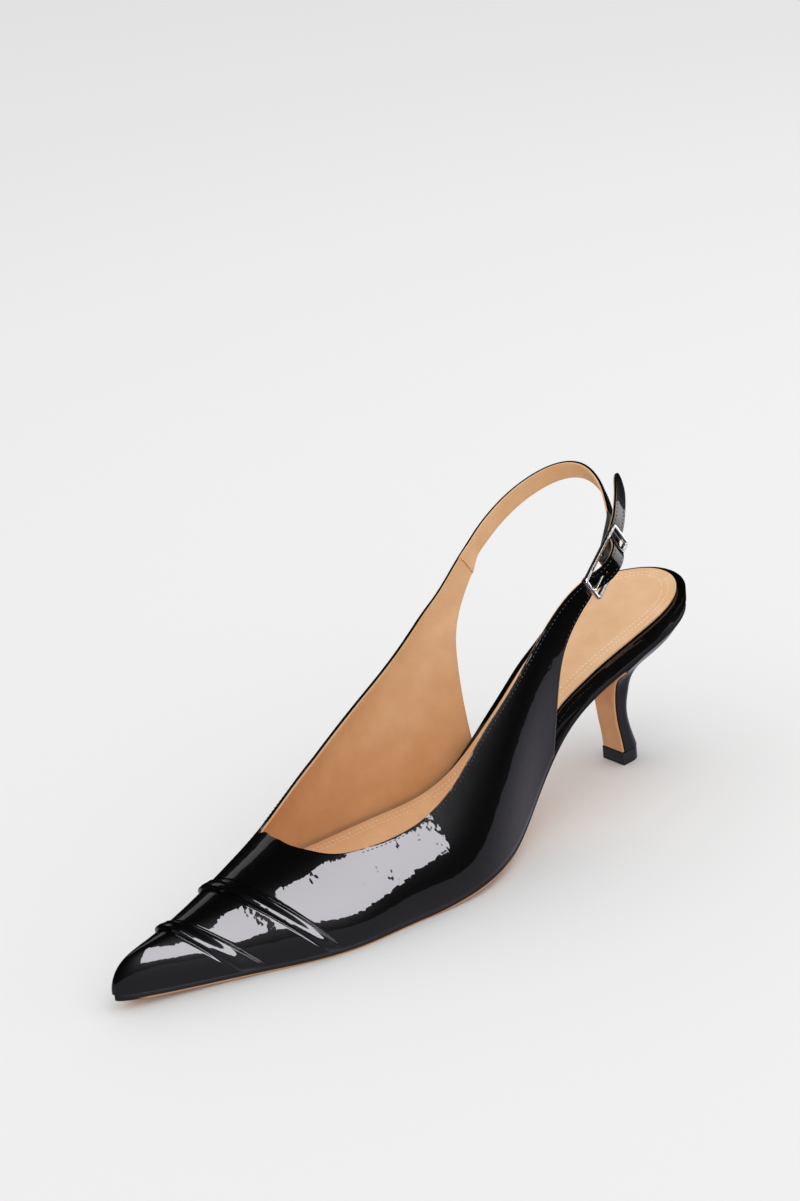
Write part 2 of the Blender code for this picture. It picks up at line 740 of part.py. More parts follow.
def make_elastic(root, cutters):
    """The elastic runs from inside the strap's end round the centre bar and back on itself."""
    end = loop_points(np.linspace(1 - ELASTIC_LAP_SHARE, 1, 4))
    ahead = np.gradient(end, axis=0)
    inward = np.cross(ahead, loop_up())
    inward *= -np.sign(inward[:, 1:2]) / np.linalg.norm(inward, axis=1, keepdims=True)
    end = end + inward * (STRAP_THICKNESS / 2 + 2 * GAP + ELASTIC_THICKNESS / 2)
    free = [buckle_point(along * BUCKLE_LENGTH, out * BUCKLE_WIDTH) for along, out in ELASTIC]
    radius = CENTRE_BAR_RADIUS + GAP + ELASTIC_THICKNESS / 2
    turn = np.radians(np.linspace(*ELASTIC_TURN, 9))
    bend = [buckle_point(radius * math.cos(a), radius * math.sin(a)) for a in turn]
    back = [buckle_point(back * ELASTIC_RETURN, out * radius) for back, out in ELASTIC_END]
    route = np.array([*end, *free, *bend, *back])
    centres = chain(route, np.linspace(0, 1, ELASTIC_ROWS))
    blend = smooth_step(0, 0.5, np.linspace(0, 1, ELASTIC_ROWS))[:, None]
    across = loop_up() * (1 - blend) + np.array(buckle_axes()[1]) * blend
    outs = np.cross(across, np.gradient(centres, axis=0))
    mesh = band_mesh("elastic", centres, across * ELASTIC_WIDTH, outs, ELASTIC_THICKNESS)
    obj = add_object("elastic", mesh, "elastic_black", root)
    slot = obj.modifiers.new("prong slot", "BOOLEAN")
    slot.operation = "DIFFERENCE"
    slot.object = cutters["prong_slot"]


# Heel


def heel_row(height):
    """Back, front and half width of the heel at a share of its height, in metres, and its round share."""
    back, front, half, roundness = (float(spline(HEEL, k, height)) for k in (1, 2, 3, 4))
    return back * SHOE_LENGTH, front * SHOE_LENGTH, half * SEAT_WIDTH, roundness


def heel_ring(back, front, half, roundness, height_at):
    """A ring with a round back and a straight front, kept inside the seat's outline."""
    turn = np.linspace(0.04, np.pi / 2, 9)
    depth = (front - back) * roundness
    x = back + depth * (1 - np.cos(turn))
    x = np.append(x, [back + depth + (front - back - depth) * share for share in (0.5, 1.0)])
    y = np.append(half * np.sin(turn), [half, half])
    along = x / SHOE_LENGTH
    lateral = np.minimum(y, outline_side(along, 1) - OUTSOLE_INSET)
    medial = np.maximum(-y, outline_side(along, -1) + OUTSOLE_INSET)
    sides = [np.stack([x, edge, height_at(x)], -1) for edge in (lateral, medial)]
    return np.concatenate([sides[0], sides[1][::-1]])


def heel_height(x, height):
    """From the top of the top lift at 0 to just under the sole at 1."""
    low = LIFT_THICKNESS + GAP
    return low + height * (tread_height(x / SHOE_LENGTH) - GAP - low)


def make_heel(root):
    levels = np.linspace(0, 1, HEEL_LEVELS)
    rings = [heel_ring(*heel_row(level), lambda x, k=level: heel_height(x, k)) for level in levels]
    add_object("heel", loft_mesh("heel", rings), "patent_black", root)


def make_breast(root):
    """The thin leather that runs from the sole down the front of the heel."""
    rows = {0: [], 1: []}
    for level in np.linspace(0, 1, HEEL_LEVELS):
        back, front, half, roundness = heel_row(level)
        for layer, x in enumerate((front + GAP, front + GAP + BREAST_THICKNESS)):
            lateral = min(half - GAP, outline_side(x / SHOE_LENGTH, 1) - 2 * OUTSOLE_INSET)
            medial = max(GAP - half, outline_side(x / SHOE_LENGTH, -1) + 2 * OUTSOLE_INSET)
            z = heel_height(x, level)
            rows[layer].append([(x, lateral, z), (x, (lateral + medial) / 2, z), (x, medial, z)])
    add_object("heel_breast", slab_mesh("heel_breast", rows[0], rows[1]), "sole_leather", root)


def lift_ends():
    """Back and front of the top lift, which carries the heel and its breast."""
    back, front, half, roundness = heel_row(0)
    return back, front + GAP + BREAST_THICKNESS


def make_top_lift(root):
    back, front = lift_ends()
    half, roundness = heel_row(0)[2:]
    rings = [heel_ring(back, front, half, roundness, lambda x, z=z: 0 * x + z) for z in (0, LIFT_THICKNESS)]
    add_object("top_lift", loft_mesh("top_lift", rings), "rubber_black", root)


# Buckle


def buckle_matrix():
    along, up, out = buckle_axes()
    turn = Matrix((along, up, out)).transposed().to_4x4()
    return Matrix.Translation(buckle_centre()) @ turn


def box(name, size, place=(0, 0, 0)):
    bpy.ops.mesh.primitive_cube_add(size=1)
    obj = bpy.context.object
    obj.name = name
    obj.data.transform(Matrix.Translation(place) @ Matrix.Diagonal((*size, 1)))
    return obj


def rod(name, radius, length, turn, place=(0, 0, 0)):
    bpy.ops.mesh.primitive_cylinder_add(vertices=16, radius=radius, depth=length)
    obj = bpy.context.object
    obj.name = name
    obj.data.transform(Matrix.Translation(place) @ turn)
    return obj


def make_cutter(obj, root, collection):
    obj.hide_render = True
    obj.display_type = "WIRE"
    obj.parent = root
    obj.matrix_local = buckle_matrix()
    for old in list(obj.users_collection):
        old.objects.unlink(obj)
    collection.objects.link(obj)
    return obj


def make_cutters(root, collection):
    window = (BUCKLE_LENGTH - 2 * BUCKLE_BAR, BUCKLE_WIDTH - 2 * BUCKLE_BAR, 4 * BUCKLE_BAR)
    slot_side = 2 * (PRONG_RADIUS + GAP)
    hole_start, hole_end = (share * BUCKLE_LENGTH for share in PRONG_HOLE)
    along = Matrix.Rotation(math.radians(90), 4, "Y")
    across = Matrix.Rotation(math.radians(90), 4, "X")
    made = {
        "window": box("window", window),
        "centre_bar": rod("centre_bar", CENTRE_BAR_RADIUS, BUCKLE_WIDTH - BUCKLE_BAR, across),
        "prong_slot": box("prong_slot", (PRONG_SLOT, slot_side, PRONG_SLOT)),
        "prong_hole": rod(
            "prong_hole",
            PRONG_RADIUS + GAP,
            hole_end - hole_start,
            along,
            ((hole_start + hole_end) / 2, 0, prong_height()),
        ),
    }
    return {name: make_cutter(obj, root, collection) for name, obj in made.items()}


def prong_height():
    """The prong's middle line lies just clear of the frame's outer face."""
    return BUCKLE_BAR / 2 + GAP + PRONG_RADIUS


def make_buckle_frame(root, cutters):
    obj = box("buckle_frame", (BUCKLE_LENGTH, BUCKLE_WIDTH, BUCKLE_BAR))
    mesh = obj.data
    bpy.data.objects.remove(obj)
    obj = add_object("buckle_frame", mesh, "buckle_metal", root)
    obj.matrix_local = buckle_matrix()
    window = obj.modifiers.new("window", "BOOLEAN")
    window.operation = "DIFFERENCE"
    window.object = cutters["window"]
    bevel = obj.modifiers.new("edges", "BEVEL")
    bevel.width = BUCKLE_BAR / 5
    bevel.segments = 2
    bar = obj.modifiers.new("centre bar", "BOOLEAN")
    bar.operation = "UNION"
    bar.object = cutters["centre_bar"]


def make_prong(root):
    """A rod turned round the centre bar, its tip resting over the frame's front bar."""
    radius = CENTRE_BAR_RADIUS + GAP + PRONG_RADIUS
    turn = np.radians(np.linspace(*PRONG_TURN, 14))
    points = [(radius * math.cos(a), 0, radius * math.sin(a)) for a in turn]
    reach = -(BUCKLE_LENGTH - BUCKLE_BAR) / 2 - PRONG_RADIUS
    points += [(reach * share, 0, radius + (prong_height() - radius) * share) for share in (0.25, 0.6, 1)]
    curve = bpy.data.curves.new("buckle_prong", "CURVE")
    curve.dimensions = "3D"
    curve.bevel_depth = PRONG_RADIUS
    curve.bevel_resolution = 2
    curve.use_fill_caps = True
    line = curve.splines.new("POLY")
    line.points.add(len(points) - 1)
    for point, place in zip(line.points, points):
        point.co = (*place, 1)
    obj = add_object("buckle_prong", curve, "buckle_metal", root)
    obj.matrix_local = buckle_matrix()


def make_materials():
    for name, (colour, roughness, metallic) in FINISHES.items():
        material = bpy.data.materials.new(name)
        material.use_nodes = True
        shader = material.node_tree.nodes["Principled BSDF"]
        shader.inputs["Base Color"].default_value = colour
        shader.inputs["Roughness"].default_value = roughness
        shader.inputs["Metallic"].default_value = metallic


def main():
    for obj in list(bpy.data.objects):
        bpy.data.objects.remove(obj)
    make_materials()
    shoe = bpy.data.collections.new("slingback_pump")
    helpers = bpy.data.collections.new("cutters")
    bpy.context.scene.collection.children.link(shoe)
    bpy.context.scene.collection.children.link(helpers)
    root = bpy.data.objects.new("shoe_root", None)
    shoe.objects.link(root)
    root.location = (-sum(lift_ends()) / 2, 0, 0)
    cutters = make_cutters(root, helpers)
    make_outsole(root)
    make_insole(root)
    make_sock(root)
    make_upper(root, cutters)
    make_sling_strap(root)
    make_elastic(root, cutters)
    make_heel(root)
    make_breast(root)
    make_top_lift(root)
    make_buckle_frame(root, cutters)
    make_prong(root)


if __name__ == "__main__":
    main()
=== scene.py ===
"""A left slingback pump in black patent leather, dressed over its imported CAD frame.

Lengths are metres. Inside the classes X runs from the back of the seat to the toe, Y to the wearer's left and
Z up from the floor. Each finished mesh is moved once, so that the middle of the top lift is the origin.
"""

import logging
import math
from dataclasses import dataclass
from enum import Enum
from functools import lru_cache
from typing import Any, Callable, Sequence

import bmesh
import bpy
import numpy as np
from mathutils import Matrix, Vector


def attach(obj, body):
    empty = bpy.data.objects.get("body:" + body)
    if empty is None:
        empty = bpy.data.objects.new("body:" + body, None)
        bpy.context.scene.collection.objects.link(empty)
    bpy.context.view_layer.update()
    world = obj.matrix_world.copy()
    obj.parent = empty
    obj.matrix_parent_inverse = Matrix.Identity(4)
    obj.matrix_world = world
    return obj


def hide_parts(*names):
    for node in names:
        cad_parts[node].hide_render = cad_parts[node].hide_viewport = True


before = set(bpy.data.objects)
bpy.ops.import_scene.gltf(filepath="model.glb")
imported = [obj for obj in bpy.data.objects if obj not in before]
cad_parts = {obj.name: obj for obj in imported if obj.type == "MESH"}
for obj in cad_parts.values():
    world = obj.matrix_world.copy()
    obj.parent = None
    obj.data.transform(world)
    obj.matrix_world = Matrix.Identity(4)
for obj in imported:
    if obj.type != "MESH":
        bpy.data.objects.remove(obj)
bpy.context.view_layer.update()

log = logging.getLogger("slingback_pump")

Table = tuple[tuple[Any, ...], ...]
Point = tuple[float, float, float]

# Middle of the top lift, along the shoe
LIFT_MIDDLE = 0.0309766

# Room between the patent and the lining glued to it
GLUE = 0.00003

# Points of a mesh closer than this are one point
SAME_POINT = 2e-6

# Edges that bend by more than these get a bevel, and part the shading
SHARP_EDGE = math.radians(60)
SHARP_SHADE = math.radians(50)

# Outline of the shoe from above
OUTLINE: Table = (
    # along, named width, medial, lateral
    (0.000, "seat", -0.01, -0.01),
    (0.030, "seat", -0.33, 0.32),
    (0.099, "seat", -0.49, 0.48),
    (0.248, "waist", -0.42, 0.54),
    (0.377, "waist", -0.53, 0.61),
    (0.496, "ball", -0.40, 0.47),
    (0.615, "ball", -0.495, 0.43),
    (0.714, "ball", -0.45, 0.38),
    (0.824, "ball", -0.325, 0.213),
    (0.923, "ball", -0.20, 0.063),
    (0.983, "ball", -0.120, -0.028),
    (1.000, "ball", -0.083, -0.083),
)

# Height of the tread as a share of the heel's rise
ARCH: Table = (
    # along, rise
    (0.00, 1.000),
    (0.099, 0.924),
    (0.198, 0.787),
    (0.298, 0.559),
    (0.397, 0.171),
    (0.496, 0.049),
    (0.595, 0.000),
    (0.655, 0.000),
)
TREAD_FLAT = 0.595
SPRING_START = 0.755

# Cross sections of the last
LAST_SECTIONS: Table = (
    # along, crest, height, wall, top_lateral, top_medial, bulge_lateral, bulge_medial
    (0.198, -0.018, 1.225, 0.63, 2.02, 2.60, 0.092, 0.213),
    (0.298, -0.012, 1.200, 0.67, 1.88, 2.73, 0.071, 0.153),
    (0.397, -0.037, 1.140, 0.67, 1.27, 2.33, 0.046, 0.060),
    (0.496, -0.049, 0.990, 0.61, 0.67, 1.52, 0.036, 0.041),
    (0.595, -0.058, 0.851, 0.56, 0.52, 0.68, 0.059, 0.033),
    (0.695, -0.043, 0.566, 0.55, 0.55, 0.55, 0.030, 0.018),
    (0.774, -0.024, 0.437, 0.55, 0.55, 0.55, 0.020, 0.005),
    (0.853, -0.027, 0.333, 0.55, 0.55, 0.55, 0.010, 0.005),
    (0.923, -0.028, 0.260, 0.55, 0.55, 0.55, 0.010, 0.009),
    (0.975, -0.062, 0.187, 0.55, 0.55, 0.55, 0.010, 0.009),
    (1.000, -0.083, 0.000, 0.55, 0.55, 0.55, 0.000, 0.000),
)

# The collar on the last: across is 1 at the feather edge and 0 at the crest
COLLAR_LATERAL: Table = (
    # along, across
    (0.731, 0.000),
    (0.7305, 0.090),
    (0.7175, 0.264),
    (0.658, 0.527),
    (0.589, 0.611),
    (0.536, 0.590),
    (0.451, 0.495),
    (0.371, 0.500),
    (0.315, 0.532),
    (0.271, 0.563),
)
COLLAR_MEDIAL: Table = (
    # along, across
    (0.731, 0.000),
    (0.7305, 0.100),
    (0.725, 0.230),
    (0.695, 0.430),
    (0.635, 0.478),
    (0.546, 0.468),
    (0.454, 0.434),
    (0.387, 0.436),
    (0.336, 0.494),
    (0.301, 0.500),
)
BACK_LATERAL: Table = (
    # along, across
    (0.3264, 1.000),
    (0.3215, 0.940),
    (0.3175, 0.850),
    (0.3096, 0.755),
    (0.2878, 0.696),
    (0.2590, 0.660),
)
BACK_MEDIAL: Table = (
    # along, across
    (0.3443, 1.000),
    (0.3443, 0.910),
    (0.3403, 0.817),
    (0.3324, 0.732),
    (0.3126, 0.668),
    (0.2848, 0.627),
)

# How a row of the vamp falls back from the crest towards each side, in shares of the length
FALL_LATERAL: Table = (
    # across, back
    (0.00, 0.000),
    (0.35, 0.012),
    (0.60, 0.028),
    (0.85, 0.050),
    (1.00, 0.066),
)
FALL_MEDIAL: Table = (
    # across, back
    (0.00, 0.000),
    (0.44, 0.001),
    (1.00, 0.034),
)
FALL_SHARE: Table = (
    # crest, share
    (0.731, 1.10),
    (0.784, 1.20),
    (0.826, 1.25),
    (0.909, 1.00),
    (0.953, 0.45),
    (1.000, 0.00),
)

# The sling strap in its tilted plane
LOOP: Table = (
    # back, side
    (-0.11, -0.560),
    (0.00, -0.565),
    (0.19, -0.622),
    (0.39, -0.670),
    (0.62, -0.675),
    (0.80, -0.624),
    (0.93, -0.530),
    (0.995, -0.402),
    (1.00, -0.290),
    (0.965, -0.150),
    (0.885, 0.020),
    (0.800, 0.150),
    (0.735, 0.240),
    (0.690, 0.298),
)

# The lateral strap through the buckle
WEAVE: Table = (
    # along, out, up
    (-0.41, -0.00190, 0.0000),
    (-0.33, -0.00020, 0.0000),
    (-0.19, 0.00290, 0.0000),
    (0.00, 0.00420, 0.0000),
    (0.20, 0.00330, 0.0001),
    (0.33, 0.00060, 0.0002),
    (0.41, -0.00110, 0.0003),
    (0.50, -0.00150, 0.0005),
    (0.62, -0.00180, 0.0009),
    (0.78, -0.00290, 0.0014),
    (1.00, -0.00490, 0.0021),
    (1.22, -0.00750, 0.0028),
    (1.40, -0.01010, 0.0034),
)
ELASTIC_ROUTE: Table = (
    # along, out
    (0.48, -0.00450),
    (0.30, -0.00310),
    (0.15, -0.00210),
)

# Sections of the heel between the top lift and the seat
HEEL: Table = (
    # height, back, front, half, round
    (0.00, 0.1002, 0.1349, 0.112, 0.55),
    (0.12, 0.1077, 0.1374, 0.106, 0.55),
    (0.24, 0.1136, 0.1414, 0.104, 0.55),
    (0.38, 0.1146, 0.1444, 0.106, 0.55),
    (0.50, 0.1080, 0.1449, 0.110, 0.55),
    (0.59, 0.0980, 0.1429, 0.112, 0.55),
    (0.66, 0.0802, 0.1429, 0.137, 0.55),
    (0.73, 0.0557, 0.1459, 0.201, 0.56),
    (0.80, 0.0343, 0.1518, 0.276, 0.57),
    (0.88, 0.0187, 0.1627, 0.356, 0.58),
    (0.95, 0.0102, 0.1746, 0.415, 0.59),
    (1.00, 0.0055, 0.1846, 0.460, 0.60),
)


class Slot(Enum):
    """The record's material slots."""

    PATENT = "patent_black"
    TAN = "leather_tan"
    SOLE = "sole_leather"
    RUBBER = "rubber_black"
    ELASTIC = "elastic_black"
    METAL = "buckle_metal"


class Side(Enum):
    """The two sides of the shoe, as the sign of Y."""

    LATERAL = 1
    MEDIAL = -1


def linear(colour: str) -> tuple[float, float, float, float]:
    """Turns an sRGB hex colour into linear values with full alpha.

    Args:
        colour: six hex digits after a number sign.

    Returns:
        The red, green, blue and alpha values.
    """
    parts = [int(colour[i : i + 2], 16) / 255 for i in (1, 3, 5)]
    red, green, blue = (c / 12.92 if c <= 0.04045 else ((c + 0.055) / 1.055) ** 2.4 for c in parts)
    return red, green, blue, 1.0


def add_node(
    tree: Any,
    kind: str,
    settings: dict[str, Any] | None = None,
    inputs: dict[Any, Any] | None = None,
) -> Any:
    """Adds a node to a tree, sets its properties and fills or links its inputs.

    Args:
        tree: the node tree.
        kind: the node's type.
        settings: property names and values.
        inputs: input names or numbers, and the value or the socket for each.

    Returns:
        The new node.
    """
    node = tree.nodes.new(kind)
    for name, value in (settings or {}).items():
        setattr(node, name, value)
    for name, value in (inputs or {}).items():
        if isinstance(value, bpy.types.NodeSocket):
            tree.links.new(value, node.inputs[name])
        else:
            node.inputs[name].default_value = value
    return node


# Curves through tables


def spline(table: Sequence[Sequence[float]], column: int, at: Any, place: int = 0) -> np.ndarray:
    """Reads the natural cubic through one column of a table.

    Args:
        table: rows with their place in one column.
        column: the column to read.
        at: the places to read it at.
        place: the column that holds the places.

    Returns:
        The values at those places.
    """
    x = np.array([row[place] for row in table], float)
    y = np.array([row[column] for row in table], float)
    count = len(x)
    step = np.diff(x)
    matrix = np.zeros((count, count))
    right = np.zeros(count)
    matrix[0, 0] = 1
    matrix[-1, -1] = 1
    for i in range(1, count - 1):
        matrix[i, i - 1 : i + 2] = step[i - 1], 2 * (step[i - 1] + step[i]), step[i]
        right[i] = 6 * ((y[i + 1] - y[i]) / step[i] - (y[i] - y[i - 1]) / step[i - 1])
    bend = np.linalg.solve(matrix, right)
    at = np.asarray(at, float)
    i = np.clip(np.searchsorted(x, at) - 1, 0, count - 2)
    low = (x[i + 1] - at) / step[i]
    high = 1 - low
    curve = (low**3 - low) * bend[i] + (high**3 - high) * bend[i + 1]
    return low * y[i] + high * y[i + 1] + curve * step[i] ** 2 / 6


def chain(table: Any, at: Any) -> np.ndarray:
    """Reads the smooth curve through all the rows of a table.

    Args:
        table: points, one to a row.
        at: shares of its length, 0 to 1.

    Returns:
        The points there.
    """
    points = np.array(table, float)
    size = np.ptp(points, axis=0)
    legs = np.linalg.norm(np.diff(points, axis=0) / np.maximum(size, 1e-9), axis=1)
    run = np.concatenate([[0], np.cumsum(legs)]) / legs.sum()
    rows = [(place, *point) for place, point in zip(run, points)]
    return np.stack([spline(rows, k + 1, at) for k in range(points.shape[1])], -1)


def rounded(along: Any) -> np.ndarray:
    """Stretches both ends of the shoe's length, so that curves through the tables end round."""
    return np.arccos(np.clip(1 - 2 * np.asarray(along, float), -1, 1)) / np.pi


def smooth_step(low: float, high: float, x: Any) -> np.ndarray:
    """Rises smoothly from 0 at low to 1 at high."""
    t = np.clip((np.asarray(x, float) - low) / (high - low), 0, 1)
    return t * t * (3 - 2 * t)


def unit(vectors: np.ndarray) -> np.ndarray:
    """Vectors of length one."""
    return vectors / np.maximum(np.linalg.norm(vectors, axis=-1, keepdims=True), 1e-12)


def run_along(points: np.ndarray) -> np.ndarray:
    """The distance run at each point of a line, from its first."""
    return np.append(0, np.cumsum(np.linalg.norm(np.diff(points, axis=0), axis=1)))


def at_distance(points: np.ndarray, distance: Any) -> np.ndarray:
    """Points of a line at the given distances from its first."""
    run = run_along(points)
    return np.stack([np.interp(distance, run, points[:, k]) for k in range(points.shape[1])], -1)


# The last


@dataclass(frozen=True)
class Last:
    """The form that the shoe is built on, with its named sizes."""

    length: float = 0.258
    ball: float = 0.071
    seat: float = 0.0486
    waist: float = 0.038
    heel_rise: float = 0.059
    toe_spring: float = 0.0036
    instep: float = 0.062
    gap: float = 0.0003
    outsole: float = 0.0022

    def side_y(self, along: Any, side: Side) -> np.ndarray:
        """Y of the feather edge on one side.

        Args:
            along: shares of the length.
            side: the side of the shoe.

        Returns:
            The values of Y.
        """
        column = 3 if side is Side.LATERAL else 2
        table = [(float(rounded(row[0])), getattr(self, row[1]) * row[column]) for row in OUTLINE]
        return spline(table, 1, rounded(along))

    def tread(self, along: Any) -> np.ndarray:
        """Height of the sole's underside.

        Args:
            along: shares of the length.

        Returns:
            The heights over the floor.
        """
        along = np.asarray(along, float)
        rise = self.heel_rise * spline(ARCH, 1, np.clip(along, 0, ARCH[-1][0]))
        rise = np.where(along >= TREAD_FLAT, 0, np.maximum(rise, 0))
        spring = np.clip((along - SPRING_START) / (1 - SPRING_START), 0, None)
        return rise + self.toe_spring * spring**2

    def feather(self, along: Any) -> np.ndarray:
        """Height of the feather edge, just over the outsole."""
        return self.tread(along) + self.outsole + self.gap

    def column(self, column: int, along: Any) -> np.ndarray:
        """One column of the last's sections."""
        table = [(float(rounded(row[0])), row[column]) for row in LAST_SECTIONS]
        return spline(table, 1, rounded(along))

    def point(self, along: Any, across: Any) -> np.ndarray:
        """Points of the last.

        Args:
            along: shares of the length.
            across: -1 at the medial feather edge, 0 at the crest, 1 at the lateral feather edge.

        Returns:
            The points, with the shape of the inputs and three coordinates.
        """
        along, across = np.broadcast_arrays(np.asarray(along, float), np.asarray(across, float))
        lateral = across > 0
        edge_y = np.where(lateral, self.side_y(along, Side.LATERAL), self.side_y(along, Side.MEDIAL))
        edge_z = self.feather(along)
        crest_y = self.column(1, along) * self.ball
        height = self.column(2, along) * self.instep
        top = np.where(lateral, self.column(4, along), self.column(5, along))
        bulge = np.where(lateral, self.column(6, along), -self.column(7, along)) * self.ball
        corners = [
            (edge_y, edge_z),
            (edge_y + bulge, edge_z + self.column(3, along) * height),
            (crest_y + (edge_y - crest_y) * top, edge_z + height),
            (crest_y, edge_z + height),
        ]
        t = 1 - np.abs(across)
        weights = [(1 - t) ** 3, 3 * t * (1 - t) ** 2, 3 * t * t * (1 - t), t**3]
        y = sum(w * corner[0] for w, corner in zip(weights, corners))
        z = sum(w * corner[1] for w, corner in zip(weights, corners))
        return np.stack([along * self.length, y, z], -1)

    def normal(self, along: Any, across: Any) -> np.ndarray:
        """The direction out of the last.

        Args:
            along: shares of the length.
            across: -1 at the medial feather edge, 0 at the crest, 1 at the lateral feather edge.

        Returns:
            Vectors of length one.
        """
        small = 1e-3
        along = np.clip(along, small, 1 - small)
        across = np.clip(across, small - 1, 1 - small)
        forward = self.point(along + small, across) - self.point(along - small, across)
        sideways = self.point(along, across + small) - self.point(along, across - small)
        return unit(np.cross(forward, sideways))

    def footbed(self, stations: np.ndarray, inset: Any, columns: int) -> np.ndarray:
        """Rows across the shoe, the outline drawn in by inset.

        Args:
            stations: shares of the length.
            inset: distance in from the outline, one or one for each station.
            columns: points in a row.

        Returns:
            X and Y of the points.
        """
        edges = []
        for side in (Side.MEDIAL, Side.LATERAL):
            y = self.side_y(stations, side)
            x = stations * self.length
            slope = np.gradient(y, x)
            size = np.sqrt(1 + slope**2)
            sign = side.value
            edges.append(np.stack([x + sign * inset * slope / size, y - sign * inset / size], -1))
        share = np.linspace(0, 1, columns)[None, :, None]
        return edges[0][:, None] * (1 - share) + edges[1][:, None] * share


LAST = Last()


# Finishes


@dataclass(frozen=True)
class Finish:
    """What every finish shares: a name, and a material built once."""

    name: str

    def shader(self, values: dict[str, Any]) -> tuple[Any, Any, Any]:
        """Starts a material.

        Args:
            values: the shader node's own inputs by name.

        Returns:
            The material, its tree and its shader node.
        """
        material = bpy.data.materials.new(self.name)
        material.use_nodes = True
        tree = material.node_tree
        principled = tree.nodes["Principled BSDF"]
        for label, value in values.items():
            principled.inputs[label].default_value = value
        return material, tree, principled

    def relief(self, tree: Any, height: Any, strength: float, depth: float) -> None:
        """Raises a material's surface by a pattern.

        Args:
            tree: its node tree.
            height: the pattern's socket.
            strength: how strong the relief is.
            depth: its depth in metres.
        """
        inputs = {"Height": height, "Strength": strength, "Distance": depth}
        bump = add_node(tree, "ShaderNodeBump", None, inputs)
        tree.links.new(bump.outputs["Normal"], tree.nodes["Principled BSDF"].inputs["Normal"])


@dataclass(frozen=True)
class PatentLeather(Finish):
    """Calf leather under a poured coat of lacquer, which shows the lights as clear, slightly wavy shapes."""

    colour: str = "#060607"
    grain_mm: float = 1.7
    wave_mm: float = 6.0
    wave_depth_mm: float = 0.10
    grain_depth_mm: float = 0.009

    def build(self) -> Any:
        """Builds the material."""
        values = {
            "Base Color": linear(self.colour),
            "Roughness": 0.35,
            "Specular IOR Level": 0.1,
            "Coat Weight": 1.0,
            "Coat Roughness": 0.02,
            "Coat IOR": 1.5,
        }
        material, tree, principled = self.shader(values)
        place = add_node(tree, "ShaderNodeTexCoord").outputs["Object"]
        inputs = {"Vector": place, "Scale": 1000 / self.wave_mm, "Detail": 2.0, "Roughness": 0.5}
        wave = add_node(tree, "ShaderNodeTexNoise", None, inputs)
        inputs = {"Vector": place, "Scale": 1000 / self.grain_mm, "Detail": 2.0}
        grain = add_node(tree, "ShaderNodeTexNoise", None, inputs)
        inputs = {"Height": wave.outputs["Fac"], "Strength": 1.0, "Distance": self.wave_depth_mm / 1000}
        wavy = add_node(tree, "ShaderNodeBump", None, inputs)
        inputs = {
            "Height": grain.outputs["Fac"],
            "Strength": 1.0,
            "Distance": self.grain_depth_mm / 1000,
            "Normal": wavy.outputs["Normal"],
        }
        both = add_node(tree, "ShaderNodeBump", None, inputs)
        tree.links.new(both.outputs["Normal"], principled.inputs["Normal"])
        tree.links.new(both.outputs["Normal"], principled.inputs["Coat Normal"])
        return material


@dataclass(frozen=True)
class DressedLeather(Finish):
    """Drum-dyed lining leather, matt, with a fine pebbled grain and a slightly cloudy colour."""

    light: str = "#D9A77C"
    dark: str = "#C08A5E"
    roughness: float = 0.5
    grain_mm: float = 0.9
    cloud_mm: float = 9.0
    depth_mm: float = 0.05

    def build(self) -> Any:
        """Builds the material."""
        material, tree, principled = self.shader({"Roughness": self.roughness, "IOR": 1.45})
        place = add_node(tree, "ShaderNodeTexCoord").outputs["Object"]
        inputs = {"Vector": place, "Scale": 1000 / self.cloud_mm, "Detail": 3.0}
        cloud = add_node(tree, "ShaderNodeTexNoise", None, inputs)
        inputs = {"Vector": place, "Scale": 1000 / self.grain_mm, "Randomness": 1.0}
        grain = add_node(tree, "ShaderNodeTexVoronoi", {"feature": "SMOOTH_F1"}, inputs)
        blend = add_node(tree, "ShaderNodeValToRGB", None, {"Fac": cloud.outputs["Fac"]})
        blend.color_ramp.elements[0].position = 0.35
        blend.color_ramp.elements[0].color = linear(self.dark)
        blend.color_ramp.elements[1].position = 0.68
        blend.color_ramp.elements[1].color = linear(self.light)
        tree.links.new(blend.outputs["Color"], principled.inputs["Base Color"])
        self.relief(tree, grain.outputs["Distance"], 0.6, self.depth_mm / 1000)
        return material


